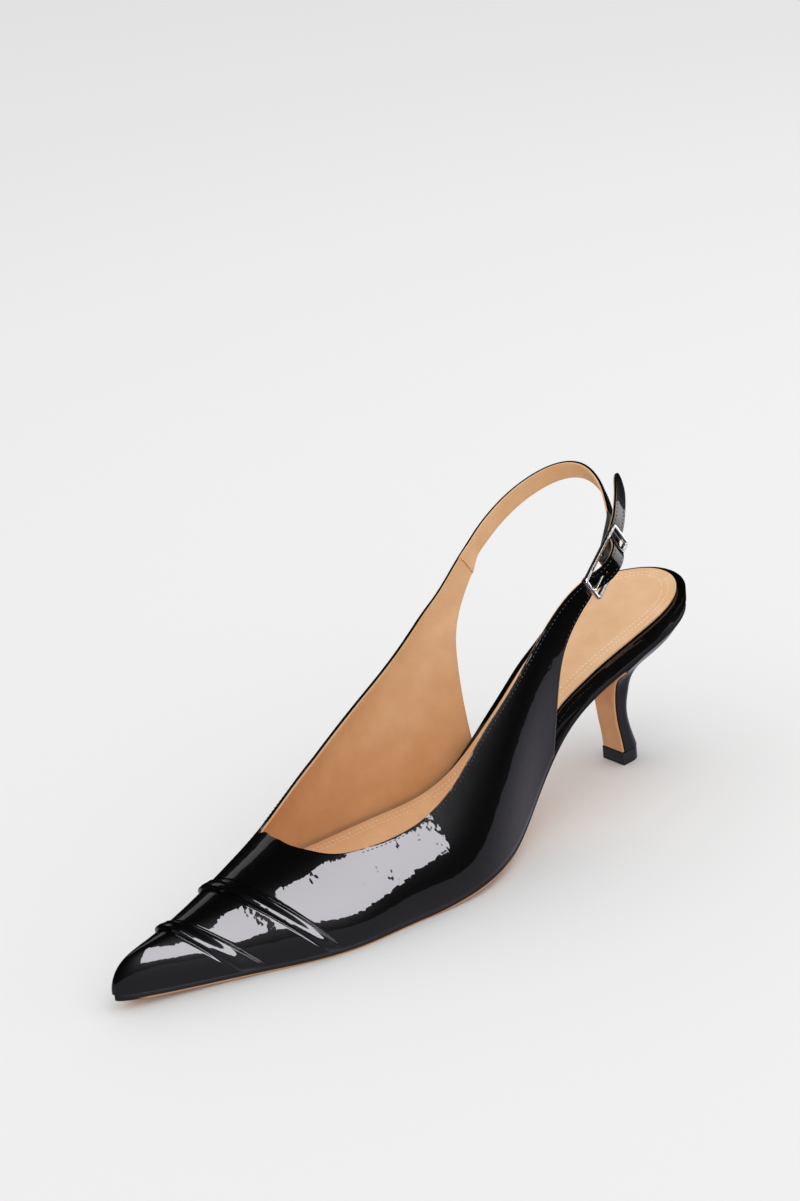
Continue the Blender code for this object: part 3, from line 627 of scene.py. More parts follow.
@dataclass(frozen=True)
class SoleLeather(Finish):
    """Sole leather: black ink on its cut edge by the waist, bare pale leather at the tread and elsewhere."""

    ink: str = "#0B0A0B"
    light: str = "#E2AE7E"
    dark: str = "#BE8A5C"
    inked_behind: float = 0.085
    behind_blur: float = 0.004
    inked_ahead: float = 0.219
    ahead_blur: float = 0.002
    bare_height: float = 0.0005
    bare_blur: float = 0.0001
    under_height: float = 0.00002
    fibre_mm: float = 0.7

    def build(self) -> Any:
        """Builds the material. The piece's 'lift' attribute is the height over the tread."""
        material, tree, principled = self.shader({"Roughness": 0.45, "IOR": 1.45})
        place = add_node(tree, "ShaderNodeTexCoord").outputs["Object"]
        apart = add_node(tree, "ShaderNodeSeparateXYZ", None, {0: place})
        lift = add_node(tree, "ShaderNodeAttribute", {"attribute_name": "lift"}).outputs["Fac"]
        flat = add_node(tree, "ShaderNodeMapping", None, {"Vector": place, "Scale": (1.0, 1.0, 4.0)})
        scale = 1000 / self.fibre_mm
        inputs = {"Vector": flat.outputs[0], "Scale": scale, "Detail": 4.0}
        fibre = add_node(tree, "ShaderNodeTexNoise", None, inputs)
        shade = add_node(tree, "ShaderNodeValToRGB", None, {"Fac": fibre.outputs["Fac"]})
        shade.color_ramp.elements[0].color = linear(self.dark)
        shade.color_ramp.elements[1].color = linear(self.light)
        masks = []
        for value, middle, blur in (
            (apart.outputs["X"], self.inked_behind, self.behind_blur),
            (apart.outputs["X"], self.inked_ahead, -self.ahead_blur),
            (lift, self.bare_height, -self.bare_blur),
        ):
            inputs = {"Value": value, "From Min": middle - blur, "From Max": middle + blur}
            masks.append(add_node(tree, "ShaderNodeMapRange", None, inputs).outputs[0])
        inputs = {0: lift, 1: self.under_height}
        under = add_node(tree, "ShaderNodeMath", {"operation": "LESS_THAN"}, inputs).outputs[0]
        bare = masks[0]
        for operation, other in (("MULTIPLY", masks[1]), ("MULTIPLY", masks[2]), ("MAXIMUM", under)):
            bare = add_node(tree, "ShaderNodeMath", {"operation": operation}, {0: bare, 1: other}).outputs[0]
        inputs = {"Factor": bare, "A": linear(self.ink), "B": shade.outputs["Color"]}
        mix = add_node(tree, "ShaderNodeMix", {"data_type": "RGBA"}, inputs)
        tree.links.new(mix.outputs["Result"], principled.inputs["Base Color"])
        self.relief(tree, fibre.outputs["Fac"], 0.4, 0.00005)
        return material


@dataclass(frozen=True)
class PlatedMetal(Finish):
    """Nickel-plated zinc, polished, with the faint orange peel of plating."""

    colour: str = "#ECEAE7"
    roughness: float = 0.24

    def build(self) -> Any:
        """Builds the material."""
        material, tree, principled = self.shader({"Base Color": linear(self.colour), "Metallic": 1.0})
        place = add_node(tree, "ShaderNodeTexCoord").outputs["Object"]
        smear = add_node(tree, "ShaderNodeTexNoise", None, {"Vector": place, "Scale": 700.0, "Detail": 3.0})
        least, most = 0.7 * self.roughness, 1.4 * self.roughness
        inputs = {"Value": smear.outputs["Fac"], "To Min": least, "To Max": most}
        rough = add_node(tree, "ShaderNodeMapRange", None, inputs)
        tree.links.new(rough.outputs[0], principled.inputs["Roughness"])
        self.relief(tree, smear.outputs["Fac"], 0.3, 0.00002)
        return material


@dataclass(frozen=True)
class MouldedRubber(Finish):
    """The dense polyurethane of a top lift, satin, with a fine moulded tooth."""

    colour: str = "#141416"

    def build(self) -> Any:
        """Builds the material."""
        material, tree, _ = self.shader({"Base Color": linear(self.colour), "Roughness": 0.42})
        place = add_node(tree, "ShaderNodeTexCoord").outputs["Object"]
        tooth = add_node(tree, "ShaderNodeTexNoise", None, {"Vector": place, "Scale": 2500.0, "Detail": 2.0})
        self.relief(tree, tooth.outputs["Fac"], 0.3, 0.00003)
        return material


@dataclass(frozen=True)
class WovenElastic(Finish):
    """Woven elastic tape: cords of black yarn side by side, crossed by a fine weft."""

    colour: str = "#17171A"
    cord_mm: float = 0.8
    weft_mm: float = 0.5

    def build(self) -> Any:
        """Builds the material. The piece's UV map is in metres, across and along the tape."""
        values = {"Base Color": linear(self.colour), "Roughness": 0.75, "Sheen Weight": 0.3}
        material, tree, _ = self.shader(values)
        place = add_node(tree, "ShaderNodeUVMap", {"uv_map": "UVMap"}).outputs[0]
        bands = []
        for direction, spacing in (("X", self.cord_mm), ("Y", self.weft_mm)):
            settings = {"wave_type": "BANDS", "bands_direction": direction}
            inputs = {"Vector": place, "Scale": 1000 / spacing / 20 * math.pi}
            bands.append(add_node(tree, "ShaderNodeTexWave", settings, inputs).outputs["Fac"])
        cords, weft = bands
        inputs = {0: weft, 1: 0.3, 2: cords}
        height = add_node(tree, "ShaderNodeMath", {"operation": "MULTIPLY_ADD"}, inputs)
        self.relief(tree, height.outputs[0], 0.8, 0.0002)
        return material


@dataclass(frozen=True)
class SpunThread(Finish):
    """Bonded polyester thread, smooth with a soft shine."""

    colour: str = "#2A2A2E"

    def build(self) -> Any:
        """Builds the material."""
        material, tree, _ = self.shader({"Base Color": linear(self.colour), "Roughness": 0.35})
        place = add_node(tree, "ShaderNodeTexCoord").outputs["Object"]
        ply = add_node(tree, "ShaderNodeTexNoise", None, {"Vector": place, "Scale": 5000.0})
        self.relief(tree, ply.outputs["Fac"], 0.3, 0.00003)
        return material


@dataclass(frozen=True)
class BackgroundPaper(Finish):
    """Pale matt paper, which shows soft shadows and no shine."""

    colour: str = "#E9E9E9"

    def build(self) -> Any:
        """Builds the material."""
        values = {"Base Color": linear(self.colour), "Roughness": 0.9, "Specular IOR Level": 0.0}
        material, tree, _ = self.shader(values)
        place = add_node(tree, "ShaderNodeTexCoord").outputs["Object"]
        fibre = add_node(tree, "ShaderNodeTexNoise", None, {"Vector": place, "Scale": 900.0})
        self.relief(tree, fibre.outputs["Fac"], 0.05, 0.0001)
        return material


PATENT = PatentLeather("black_patent_leather")
LINING = DressedLeather("tan_lining_leather", light="#E6B98A", dark="#DFAE7D")
SOCK_LEATHER = DressedLeather(
    "tan_sock_leather", light="#E8BE94", dark="#E2B487", grain_mm=0.7, depth_mm=0.03
)
BREAST_LEATHER = DressedLeather(
    "tan_breast_leather", light="#D8A373", dark="#CD9666", grain_mm=0.6, depth_mm=0.02
)
SOLE_LEATHER = SoleLeather("sole_leather_inked_edge")
METAL = PlatedMetal("nickel_plated_zinc")
RUBBER = MouldedRubber("polyurethane_top_lift")
ELASTIC = WovenElastic("woven_black_elastic")
BLACK_THREAD = SpunThread("black_bonded_thread", colour="#2C2C30")
TAN_THREAD = SpunThread("tan_bonded_thread", colour="#E6C39B")
CREAM_THREAD = SpunThread("cream_bonded_thread", colour="#F6E5CE")
PAPER = BackgroundPaper("background_paper")


@lru_cache(maxsize=None)
def material_of(finish: Any) -> Any:
    """The material of a finish, built on first use."""
    return finish.build()


# Meshes


def add_grid(shape: Any, points: np.ndarray, turned: bool) -> list[list[Any]]:
    """Adds the faces of a grid of points to a bmesh, with a UV map in metres.

    Args:
        shape: the bmesh.
        points: rows, columns and three coordinates.
        turned: whether the faces are turned.

    Returns:
        The vertices, row by row.
    """
    uv_layer = shape.loops.layers.uv.get("UVMap") or shape.loops.layers.uv.new("UVMap")
    middle = points.mean(axis=1)
    along = run_along(middle)
    spans = np.linalg.norm(np.diff(points, axis=1, prepend=points[:, :1]), axis=2).cumsum(axis=1)
    verts = [[shape.verts.new(point) for point in row] for row in points]
    for i in range(len(verts) - 1):
        for j in range(len(verts[0]) - 1):
            places = [(i, j), (i, j + 1), (i + 1, j + 1), (i + 1, j)]
            if turned:
                places.reverse()
            face = shape.faces.new([verts[a][b] for a, b in places])
            for loop, (a, b) in zip(face.loops, places):
                loop[uv_layer].uv = (spans[a, b], along[a])
    return verts


def join_grids(name: str, grids: Sequence[tuple[np.ndarray, bool]]) -> Any:
    """Makes one mesh of grids of points that meet edge to edge, with a UV map in metres.

    Args:
        name: the mesh's name.
        grids: points as rows, columns and three coordinates, and whether its faces are turned.

    Returns:
        The mesh.
    """
    shape = bmesh.new()
    for points, turned in grids:
        add_grid(shape, points, turned)
    bmesh.ops.remove_doubles(shape, verts=shape.verts, dist=SAME_POINT)
    return finished(name, shape)


def finished(name: str, shape: Any) -> Any:
    """Turns a bmesh into a smooth mesh in the frame's place.

    Args:
        name: the mesh's name.
        shape: the bmesh, which is freed.

    Returns:
        The mesh.
    """
    mesh = bpy.data.meshes.new(name)
    shape.to_mesh(mesh)
    shape.free()
    mesh.transform(Matrix.Translation((-LIFT_MIDDLE, 0, 0)))
    mesh.shade_smooth()
    return mesh


def slab(name: str, bottom: np.ndarray, top: np.ndarray) -> Any:
    """Makes a closed solid between two grids of the same shape.

    Args:
        name: the mesh's name.
        bottom: points of one face.
        top: points of the other.

    Returns:
        The mesh.
    """
    shape = bmesh.new()
    low, high = [add_grid(shape, points, False) for points in (bottom, top)]
    for rim_low, rim_high in (
        (low[0], high[0]),
        (low[-1], high[-1]),
        ([row[0] for row in low], [row[0] for row in high]),
        ([row[-1] for row in low], [row[-1] for row in high]),
    ):
        for corners in zip(rim_low, rim_low[1:], rim_high[1:], rim_high):
            shape.faces.new(corners)
    bmesh.ops.remove_doubles(shape, verts=shape.verts, dist=SAME_POINT)
    bmesh.ops.recalc_face_normals(shape, faces=shape.faces)
    return finished(name, shape)


def loft(name: str, rings: Sequence[np.ndarray], closed: bool = False) -> Any:
    """Makes a closed solid through rings of points.

    Args:
        name: the mesh's name.
        rings: rings with the same number of points; each runs down one side and back up the other.
        closed: whether the last ring joins the first, as on a frame.

    Returns:
        The mesh.
    """
    shape = bmesh.new()
    verts = [[shape.verts.new(point) for point in ring] for ring in rings]
    pairs = list(zip(verts, verts[1:]))
    if closed:
        pairs.append((verts[-1], verts[0]))
    for near, far in pairs:
        for corners in zip(near, near[1:] + near[:1], far[1:] + far[:1], far):
            shape.faces.new(corners)
    for ring in () if closed else (verts[0], verts[-1]):
        half = len(ring) // 2
        for corners in zip(ring[:half], ring[1:half], ring[: half - 1 : -1][1:], ring[: half - 1 : -1]):
            shape.faces.new(corners)
    bmesh.ops.remove_doubles(shape, verts=shape.verts, dist=SAME_POINT)
    bmesh.ops.recalc_face_normals(shape, faces=shape.faces)
    return finished(name, shape)


def round_box(half: np.ndarray, radius: float, steps: int) -> tuple[np.ndarray, np.ndarray]:
    """Goes round a box with round corners.

    Args:
        half: half its two sides, without the corners.
        radius: the corners' radius.
        steps: points in a corner.

    Returns:
        The points, and the directions out of the box there.
    """
    points, away = [], []
    for k, signs in enumerate(((1, 1), (-1, 1), (-1, -1), (1, -1))):
        for angle in np.linspace(0, 90, steps):
            turned = math.radians(angle + 90 * k)
            away.append(np.array([math.cos(turned), math.sin(turned)]))
            points.append(np.array(signs) * half + radius * away[-1])
    return np.array(points), np.array(away)


def tube(points: np.ndarray, radii: np.ndarray, sides: int) -> list[np.ndarray]:
    """Rings round a line that lies in one plane across Y.

    Args:
        points: the line's points.
        radii: the radius at each.
        sides: points in a ring, an even number.

    Returns:
        The rings.
    """
    forward = unit(np.gradient(points, axis=0))
    side = np.array([0.0, 1.0, 0.0])
    rings = []
    turn = (np.arange(sides) + 0.5) / sides * 2 * np.pi
    for point, ahead, radius in zip(points, forward, radii):
        up = np.cross(ahead, side)
        rings.append(point + radius * (np.cos(turn)[:, None] * side + np.sin(turn)[:, None] * up))
    return rings


def add_object(name: str, mesh: Any, finish: Any) -> Any:
    """Links a mesh to the scene with its finish.

    Args:
        name: the object's name.
        mesh: its mesh.
        finish: what it is made of.

    Returns:
        The object.
    """
    obj = bpy.data.objects.new(name, mesh)
    bpy.context.scene.collection.objects.link(obj)
    mesh.materials.clear()
    mesh.materials.append(material_of(finish))
    return obj


def bake(obj: Any) -> Any:
    """Turns an object's modifiers into its mesh.

    Args:
        obj: the object.

    Returns:
        The same object, with no modifiers.
    """
    graph = bpy.context.evaluated_depsgraph_get()
    mesh = bpy.data.meshes.new_from_object(obj.evaluated_get(graph), depsgraph=graph)
    obj.modifiers.clear()
    obj.data = mesh
    return obj


def make_piece(
    name: str, mesh: Any, finish: Any, slot: Slot, replaces: str, width: float, segments: int = 2
) -> Any:
    """Makes a piece of a mesh: its edges rounded and its body given, and its slot logged.

    Args:
        name: the piece's name.
        mesh: its mesh.
        finish: what it is made of.
        slot: its record slot.
        replaces: the node it stands for, or nothing.
        width: how wide its edges are rounded.
        segments: faces across them.

    Returns:
        The piece.
    """
    obj = add_object(name, mesh, finish)
    round_edges(obj, width, segments)
    return settle(bake(obj), slot, [replaces] if replaces else [])


def settle(obj: Any, slot: Slot, replaces: Sequence[str] = ()) -> Any:
    """Gives a finished piece its body, hides the CAD nodes it stands for and logs its record slot.

    Args:
        obj: the piece.
        slot: its record slot.
        replaces: the nodes it stands for.

    Returns:
        The piece.
    """
    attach(obj, "root")
    if replaces:
        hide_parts(*replaces)
    log.info("piece %s, slot %s, %d faces", obj.name, slot.value, len(obj.data.polygons))
    return obj


def round_edges(obj: Any, width: float, segments: int) -> None:
    """Rounds the sharp edges of a piece with a bevel.

    Args:
        obj: the piece.
        width: how wide the bevel is.
        segments: faces across it.
    """
    bevel = obj.modifiers.new("rounded edges", "BEVEL")
    bevel.width = width
    bevel.segments = segments
    bevel.limit_method = "ANGLE"
    bevel.angle_limit = SHARP_EDGE
    bevel.harden_normals = False


# Stitches


@dataclass(frozen=True)
class Stitching:
    """A row of stitches that follows a line on a surface."""

    pitch: float = 0.0016
    length: float = 0.0010
    radius: float = 0.00017
    rings: int = 5
    segments: int = 8

    def sizes(self) -> dict[str, float]:
        """The node tree's inputs by name."""
        return {"Pitch": self.pitch, "Stitch length": self.length, "Thread radius": self.radius}

    def tree(self, finish: Any) -> Any:
        """Builds the node tree that sets stitches along an edge line with an 'out' attribute.

        Args:
            finish: the thread's finish.

        Returns:
            The node group.
        """
        tree = bpy.data.node_groups.new("stitch row", "GeometryNodeTree")
        faces = tree.interface
        faces.new_socket("Geometry", in_out="INPUT", socket_type="NodeSocketGeometry")
        for label in self.sizes():
            faces.new_socket(label, in_out="INPUT", socket_type="NodeSocketFloat")
        faces.new_socket("Geometry", in_out="OUTPUT", socket_type="NodeSocketGeometry")
        given = add_node(tree, "NodeGroupInput").outputs
        curve = add_node(tree, "GeometryNodeMeshToCurve", None, {0: given["Geometry"]})
        inputs = {"Curve": curve.outputs[0], "Length": given["Pitch"]}
        spaced = add_node(tree, "GeometryNodeResampleCurve", {"mode": "LENGTH"}, inputs)
        tangent = add_node(tree, "GeometryNodeInputTangent").outputs[0]
        kind = {"data_type": "FLOAT_VECTOR"}
        out = add_node(tree, "GeometryNodeInputNamedAttribute", kind, {"Name": "out"}).outputs[0]
        turn = add_node(
            tree,
            "FunctionNodeAxesToRotation",
            {"primary_axis": "X", "secondary_axis": "Z"},
            {"Primary Axis": tangent, "Secondary Axis": out},
        )
        inputs = {"Segments": self.segments, "Rings": self.rings, "Radius": 1.0}
        bead = add_node(tree, "GeometryNodeMeshUVSphere", None, inputs)
        inputs = {0: given["Stitch length"], 1: 0.5}
        half = add_node(tree, "ShaderNodeMath", {"operation": "MULTIPLY"}, inputs)
        inputs = {"X": half.outputs[0], "Y": given["Thread radius"], "Z": given["Thread radius"]}
        size = add_node(tree, "ShaderNodeCombineXYZ", None, inputs)
        inputs = {
            "Points": spaced.outputs[0],
            "Instance": bead.outputs["Mesh"],
            "Rotation": turn.outputs[0],
            "Scale": size.outputs[0],
        }
        placed = add_node(tree, "GeometryNodeInstanceOnPoints", None, inputs)
        real = add_node(tree, "GeometryNodeRealizeInstances", None, {0: placed.outputs[0]})
        inputs = {"Geometry": real.outputs[0], "Material": material_of(finish)}
        dyed = add_node(tree, "GeometryNodeSetMaterial", None, inputs)
        add_node(tree, "NodeGroupOutput", None, {0: dyed.outputs[0]})
        return tree

    def row(self, name: str, lines: Sequence[tuple[np.ndarray, np.ndarray]], finish: Any, slot: Slot) -> Any:
        """Sews stitches along lines.

        Args:
            name: the piece's name.
            lines: each line's points and the directions out of the surface there.
            finish: the thread's finish.
            slot: the record slot of the leather it is sewn to.

        Returns:
            The piece.
        """
        points = np.concatenate([line for line, _ in lines])
        outs = np.concatenate([out for _, out in lines])
        edges = []
        start = 0
        for line, _ in lines:
            edges += [(start + i, start + i + 1) for i in range(len(line) - 1)]
            start += len(line)
        mesh = bpy.data.meshes.new(name)
        mesh.from_pydata((points - [LIFT_MIDDLE, 0, 0]).tolist(), edges, [])
        directions = mesh.attributes.new("out", "FLOAT_VECTOR", "POINT")
        directions.data.foreach_set("vector", outs.astype(np.float32).ravel())
        obj = add_object(name, mesh, finish)
        modifier = obj.modifiers.new("stitches", "NODES")
        modifier.node_group = self.tree(finish)
        sizes = self.sizes()
        for socket in modifier.node_group.interface.items_tree:
            if socket.in_out == "INPUT" and socket.name in sizes:
                modifier[socket.identifier] = sizes[socket.name]
        bake(obj)
        obj.data.shade_smooth()
        return settle(obj, slot)


# Upper


@dataclass(frozen=True)
class Upper:
    """The patent upper: a vamp with two pleats, two quarters and the lateral strap, with a leather lining."""

    wall: float = 0.0014
    skin: float = 0.0008
    # The share of the wall that is left at the toe's tip, and the length over which it thins
    nose_wall: float = 0.3
    nose_length: float = 0.007
    # Where the pleats cross the crest, in shares of the length
    pleats: tuple[float, float] = (0.909, 0.8255)
    pleat_height: float = 0.0014
    pleat_width: float = 0.0050
    # A pleat's section: lengths in shares of its width, heights in shares of its height
    behind: float = 0.75
    ahead: float = 0.36
    foot: float = 0.16
    shoulder: float = 0.55
    roll: float = 0.2
    crease: float = 0.16
    crease_ahead: tuple[float, float] = (0.04, 0.07)
    crease_behind: tuple[float, float] = (0.03, 0.08)
    # How a pleat loses height on its way down from the crest, and ends
    sinking: float = 0.45
    sinks_between: tuple[float, float] = (0.3, 0.9)
    ends_between: tuple[float, float] = (0.95, 1.0)
    # How far behind and ahead of a pleat the rows lie close together, in its widths
    dense_rows: tuple[float, float] = (1.0, 0.6)
    # Where the throat starts, and where the rows of the vamp begin to follow it
    throat: float = 0.731
    behind_pleats: float = 0.81
    # Columns from the feather edge to the crest, and how many of them end at the throat on each side
    columns: int = 56
    throat_columns: tuple[int, int] = (28, 24)
    # Where the last row of the vamp meets the feather edge, lateral and medial
    starts: tuple[float, float] = (0.650, 0.677)
    vamp_count: int = 120
    pleat_count: int = 44
    side_count: int = 60
    back_count: int = 36
    weave_count: int = 140
    collar_points: int = 2400
    # The share of the quarter's collar that belongs to rows from the feather edge, not from the back edge
    to_corner: float = 0.62
    # How far the lining's edge is drawn back, and the most of its outermost faces that this may take
    set_back: float = 0.00035
    most_set_back: float = 0.7
    strap_width: float = 0.0070
    tip_length: float = 0.0075
    tip_blunt: float = 0.12
    # Shares of the lateral strap over which it takes its own width and direction, and its lining's inset
    strap_blend: float = 0.09
    inset_blend: float = 0.03
    least_width: float = 0.0004
    # How far the stitches lie from the edge, and the strap's last rows that have none
    stitch_inset: float = 0.0012
    lining_stitch_inset: float = 0.0015
    rows_past_stitches: int = 12

    def of_side(self, pair: Sequence[Any], side: Side) -> Any:
        """The value for a side, of a pair that has the lateral side's first."""
        return pair[0] if side is Side.LATERAL else pair[1]

    def collar_turn(self, side: Side) -> tuple[np.ndarray, int]:
        """The collar as fine points, and the point where it leaves the throat for the quarter.

        Args:
            side: the side of the shoe.

        Returns:
            Rows of along and across, and the number of that point.
        """
        table = COLLAR_LATERAL if side is Side.LATERAL else COLLAR_MEDIAL
        line = chain(table, np.linspace(0, 1, self.collar_points))
        across = self.of_side(self.throat_columns, side) / self.columns
        turn = int(np.argmax(line[:, 1] > across))
        line[turn] = (line[turn, 0], across)
        return line, turn

    def throat_row(self, side: Side, across: np.ndarray) -> np.ndarray:
        """Places of the line that follows the collar, then runs down to the feather edge.

        Args:
            side: the side of the shoe.
            across: 0 at the crest, 1 at the feather edge.

        Returns:
            Its shares of the length.
        """
        line, turn = self.collar_turn(side)
        places = np.append(line[: turn + 1, 1], 1.0)
        return np.interp(across, places, np.append(line[: turn + 1, 0], self.of_side(self.starts, side)))

    def fall(self, crest: float, side: Side, across: np.ndarray) -> np.ndarray:
        """How far behind its crest a row of the vamp lies.

        Args:
            crest: the row's share of the length at the crest.
            side: the side of the shoe.
            across: 0 at the crest, 1 at the feather edge.

        Returns:
            Shares of the length.
        """
        table = FALL_LATERAL if side is Side.LATERAL else FALL_MEDIAL
        over_vamp = spline(FALL_SHARE, 1, crest) * spline(table, 1, across)
        near_throat = 1 - smooth_step(self.throat, self.behind_pleats, crest)
        return over_vamp + near_throat * (self.throat - self.throat_row(side, across) - over_vamp)

    def pleat_rise(self, crest: float, across: np.ndarray) -> np.ndarray:
        """The height of the folds: steep and rolled towards the toe, flatter behind, creased on each side.

        Args:
            crest: the row's share of the length at the crest.
            across: 0 at the crest, 1 at the feather edge.

        Returns:
            The heights.
        """
        rise = np.zeros_like(across)
        for middle in self.pleats:
            off = (crest - middle) * LAST.length / self.pleat_width
            fold = smooth_step(-self.behind, self.foot - self.behind, off)
            fold = fold * (self.shoulder + (1 - self.shoulder) * smooth_step(self.foot - self.behind, 0, off))
            fold = fold * (1 - smooth_step(self.ahead - self.roll, self.ahead, off))
            away, width = self.crease_ahead
            creases = np.exp(-(((off - self.ahead - away) / width) ** 2))
            away, width = self.crease_behind
            creases = creases + np.exp(-(((off + self.behind + away) / width) ** 2))
            rise = rise + fold - self.crease * creases
        lower = 1 - self.sinking * smooth_step(*self.sinks_between, across)
        return self.pleat_height * rise * lower * (1 - smooth_step(*self.ends_between, across))

    def vamp(self, side: Side, pleated: bool = True) -> np.ndarray:
        """Rows from the feather edge up to the crest, from the toe back to the throat.

        Args:
            side: the side of the shoe.
            pleated: whether the pleats are raised, as they are in the skin and not in the lining.

        Returns:
            The rows of points.
        """
        crests = (1 - np.cos(np.linspace(rounded(self.throat), 1, self.vamp_count) * np.pi)) / 2
        share = self.pleat_width / LAST.length
        for middle in self.pleats:
            low, high = middle - self.dense_rows[0] * share, middle + self.dense_rows[1] * share
            outside = (crests < low) | (crests > high)
            crests = np.append(crests[outside], np.linspace(low, high, self.pleat_count))
        rows = []
        across = side.value * np.linspace(1, 0, self.columns + 1)
        for crest in np.sort(crests)[::-1]:
            along = crest - self.fall(crest, side, np.abs(across))
            rise = self.pleat_rise(crest, np.abs(across)) * pleated
            rows.append(LAST.point(along, across) + rise[:, None] * LAST.normal(along, across))
        return np.array(rows)

    def quarter(self, side: Side) -> np.ndarray:
        """Rows from the feather edge, then from the quarter's back edge, up to the collar.

        Args:
            side: the side of the shoe.

        Returns:
            The rows of points.
        """
        back = BACK_LATERAL if side is Side.LATERAL else BACK_MEDIAL
        line, turn = self.collar_turn(side)
        start = self.of_side(self.starts, side)
        bottoms = [(along, 1.0) for along in np.linspace(start, back[0][0], self.side_count + 1)]
        bottoms += [tuple(point) for point in chain(back, np.linspace(0, 1, self.back_count + 1)[1:])]
        reach = np.linspace(0, self.to_corner, self.side_count + 1)
        reach = np.concatenate([reach, np.linspace(self.to_corner, 1, self.back_count + 1)[1:]])
        tops = np.round(turn + reach * (self.collar_points - 1 - turn)).astype(int)
        share = np.linspace(0, 1, self.columns - self.of_side(self.throat_columns, side) + 1)[:, None]
        rows = []
        for bottom, top in zip(bottoms, line[tops]):
            row = np.array(bottom) * (1 - share) + top * share
            rows.append(LAST.point(row[:, 0], side.value * row[:, 1]))
        return np.array(rows)

    def weave(self, first: np.ndarray, inset: float = 0.0) -> np.ndarray:
        """The lateral strap from the quarter's last row through the buckle to its pointed tip.

        Args:
            first: the quarter's last row.
            inset: how far inside the strap's edges its own edges lie.

        Returns:
            The rows of points.
        """
        route = [first.mean(axis=0)] + [BUCKLE.place(a * BUCKLE.length, o, u) for a, o, u in WEAVE]
        share = np.linspace(0, 1, self.weave_count + 1)
        route = chain(route, share)
        left = run_along(route[::-1])[::-1]
        up = BUCKLE.axes()[1]
        first_width = np.linalg.norm(first[-1] - first[0])
        blend = smooth_step(0, self.strap_blend, share)
        width = first_width + (self.strap_width - first_width) * blend
        width *= np.sqrt(np.clip(1 - np.clip(1 - left / self.tip_length, 0, 1) ** 2, self.tip_blunt**2, 1))
        width = np.maximum(width - 2 * inset * smooth_step(0, self.inset_blend, share), self.least_width)
        blend = blend[:, None]
        across = unit((first[-1] - first[0]) / first_width * (1 - blend) + up * blend)
        spread = np.linspace(-0.5, 0.5, len(first))[None, :, None]
        return (route[:, None] + (across * width[:, None])[:, None] * spread)[1:]

    def grids(self, pleated: bool = True) -> list[tuple[np.ndarray, bool]]:
        """The outer surface.

        Args:
            pleated: whether it is the skin's, with its pleats, or the lining's.

        Returns:
            Grids of points, and whether each grid's faces are turned.
        """
        lateral = self.quarter(Side.LATERAL)
        return [
            (self.vamp(Side.LATERAL, pleated), True),
            (self.vamp(Side.MEDIAL, pleated), False),
            (np.concatenate([lateral, self.weave(lateral[-1], 0 if pleated else self.set_back)]), True),
            (self.quarter(Side.MEDIAL), False),
        ]

    def layer(self, name: str, outer: float, inner: float, finish: Any, edge: float) -> Any:
        """One layer of the wall, between two depths under the outer surface.

        Args:
            name: the piece's name.
            outer: depth of its outer face.
            inner: depth of its inner face.
            finish: what it is made of.
            edge: how round its cut edges are.

        Returns:
            The piece, baked.
        """
        obj = add_object(name, join_grids(name, self.grids(pleated=outer == 0)), finish)
        if outer > 0:
            self.draw_back(obj.data)
            normals = np.array([vert.normal for vert in obj.data.vertices])
            places = np.array([vert.co for vert in obj.data.vertices])
            places -= normals * (outer * self.nose_share(places[:, 0]))[:, None]
            obj.data.vertices.foreach_set("co", places.astype(np.float32).ravel())
        group = obj.vertex_groups.new(name="wall")
        for vert in obj.data.vertices:
            group.add([vert.index], float(self.nose_share(vert.co.x)), "REPLACE")
        solidify = obj.modifiers.new("wall", "SOLIDIFY")
        solidify.thickness = inner - outer
        solidify.offset = -1
        solidify.vertex_group = "wall"
        round_edges(obj, edge, 2)
        return bake(obj)

    def nose_share(self, x: Any) -> Any:
        """The share of the wall's thickness that is left at X in the frame, less at the toe's tip."""
        return np.minimum(1, self.nose_wall + (LAST.length - LIFT_MIDDLE - x) / self.nose_length)

    def draw_back(self, mesh: Any) -> None:
        """Draws the lining's edges back from the collar, where the skin is turned over it.

        Args:
            mesh: the lining's mesh, which is changed.
        """
        shape = bmesh.new()
        shape.from_mesh(mesh)
        moves = []
        for vert in shape.verts:
            inner = [edge.other_vert(vert) for edge in vert.link_edges if not edge.is_boundary]
            if vert.is_boundary and inner:
                step = sum((other.co for other in inner), Vector()) / len(inner) - vert.co
                moves.append((vert, step.normalized() * min(self.set_back, self.most_set_back * step.length)))
        for vert, move in moves:
            vert.co += move
        shape.to_mesh(mesh)
        shape.free()

    def dress(self) -> None:
        """Makes the outer skin and the lining, and sews them."""
        holes = BUCKLE.punch()
        skin = self.layer("upper_skin", 0.0, self.skin, PATENT, 0.0002)
        lining = self.layer("upper_lining", self.skin + GLUE, self.wall, LINING, 0.0001)
        for piece in (skin, lining):
            for hole in holes:
                cut = piece.modifiers.new("punched hole", "BOOLEAN")
                cut.operation = "DIFFERENCE"
                cut.object = hole
                bake(piece)
            piece.data.shade_smooth()
            piece.data.set_sharp_from_angle(angle=SHARP_SHADE)
        for hole in holes:
            bpy.data.objects.remove(hole)
        settle(skin, Slot.PATENT, ["upper"])
        settle(lining, Slot.TAN)
        self.sew()

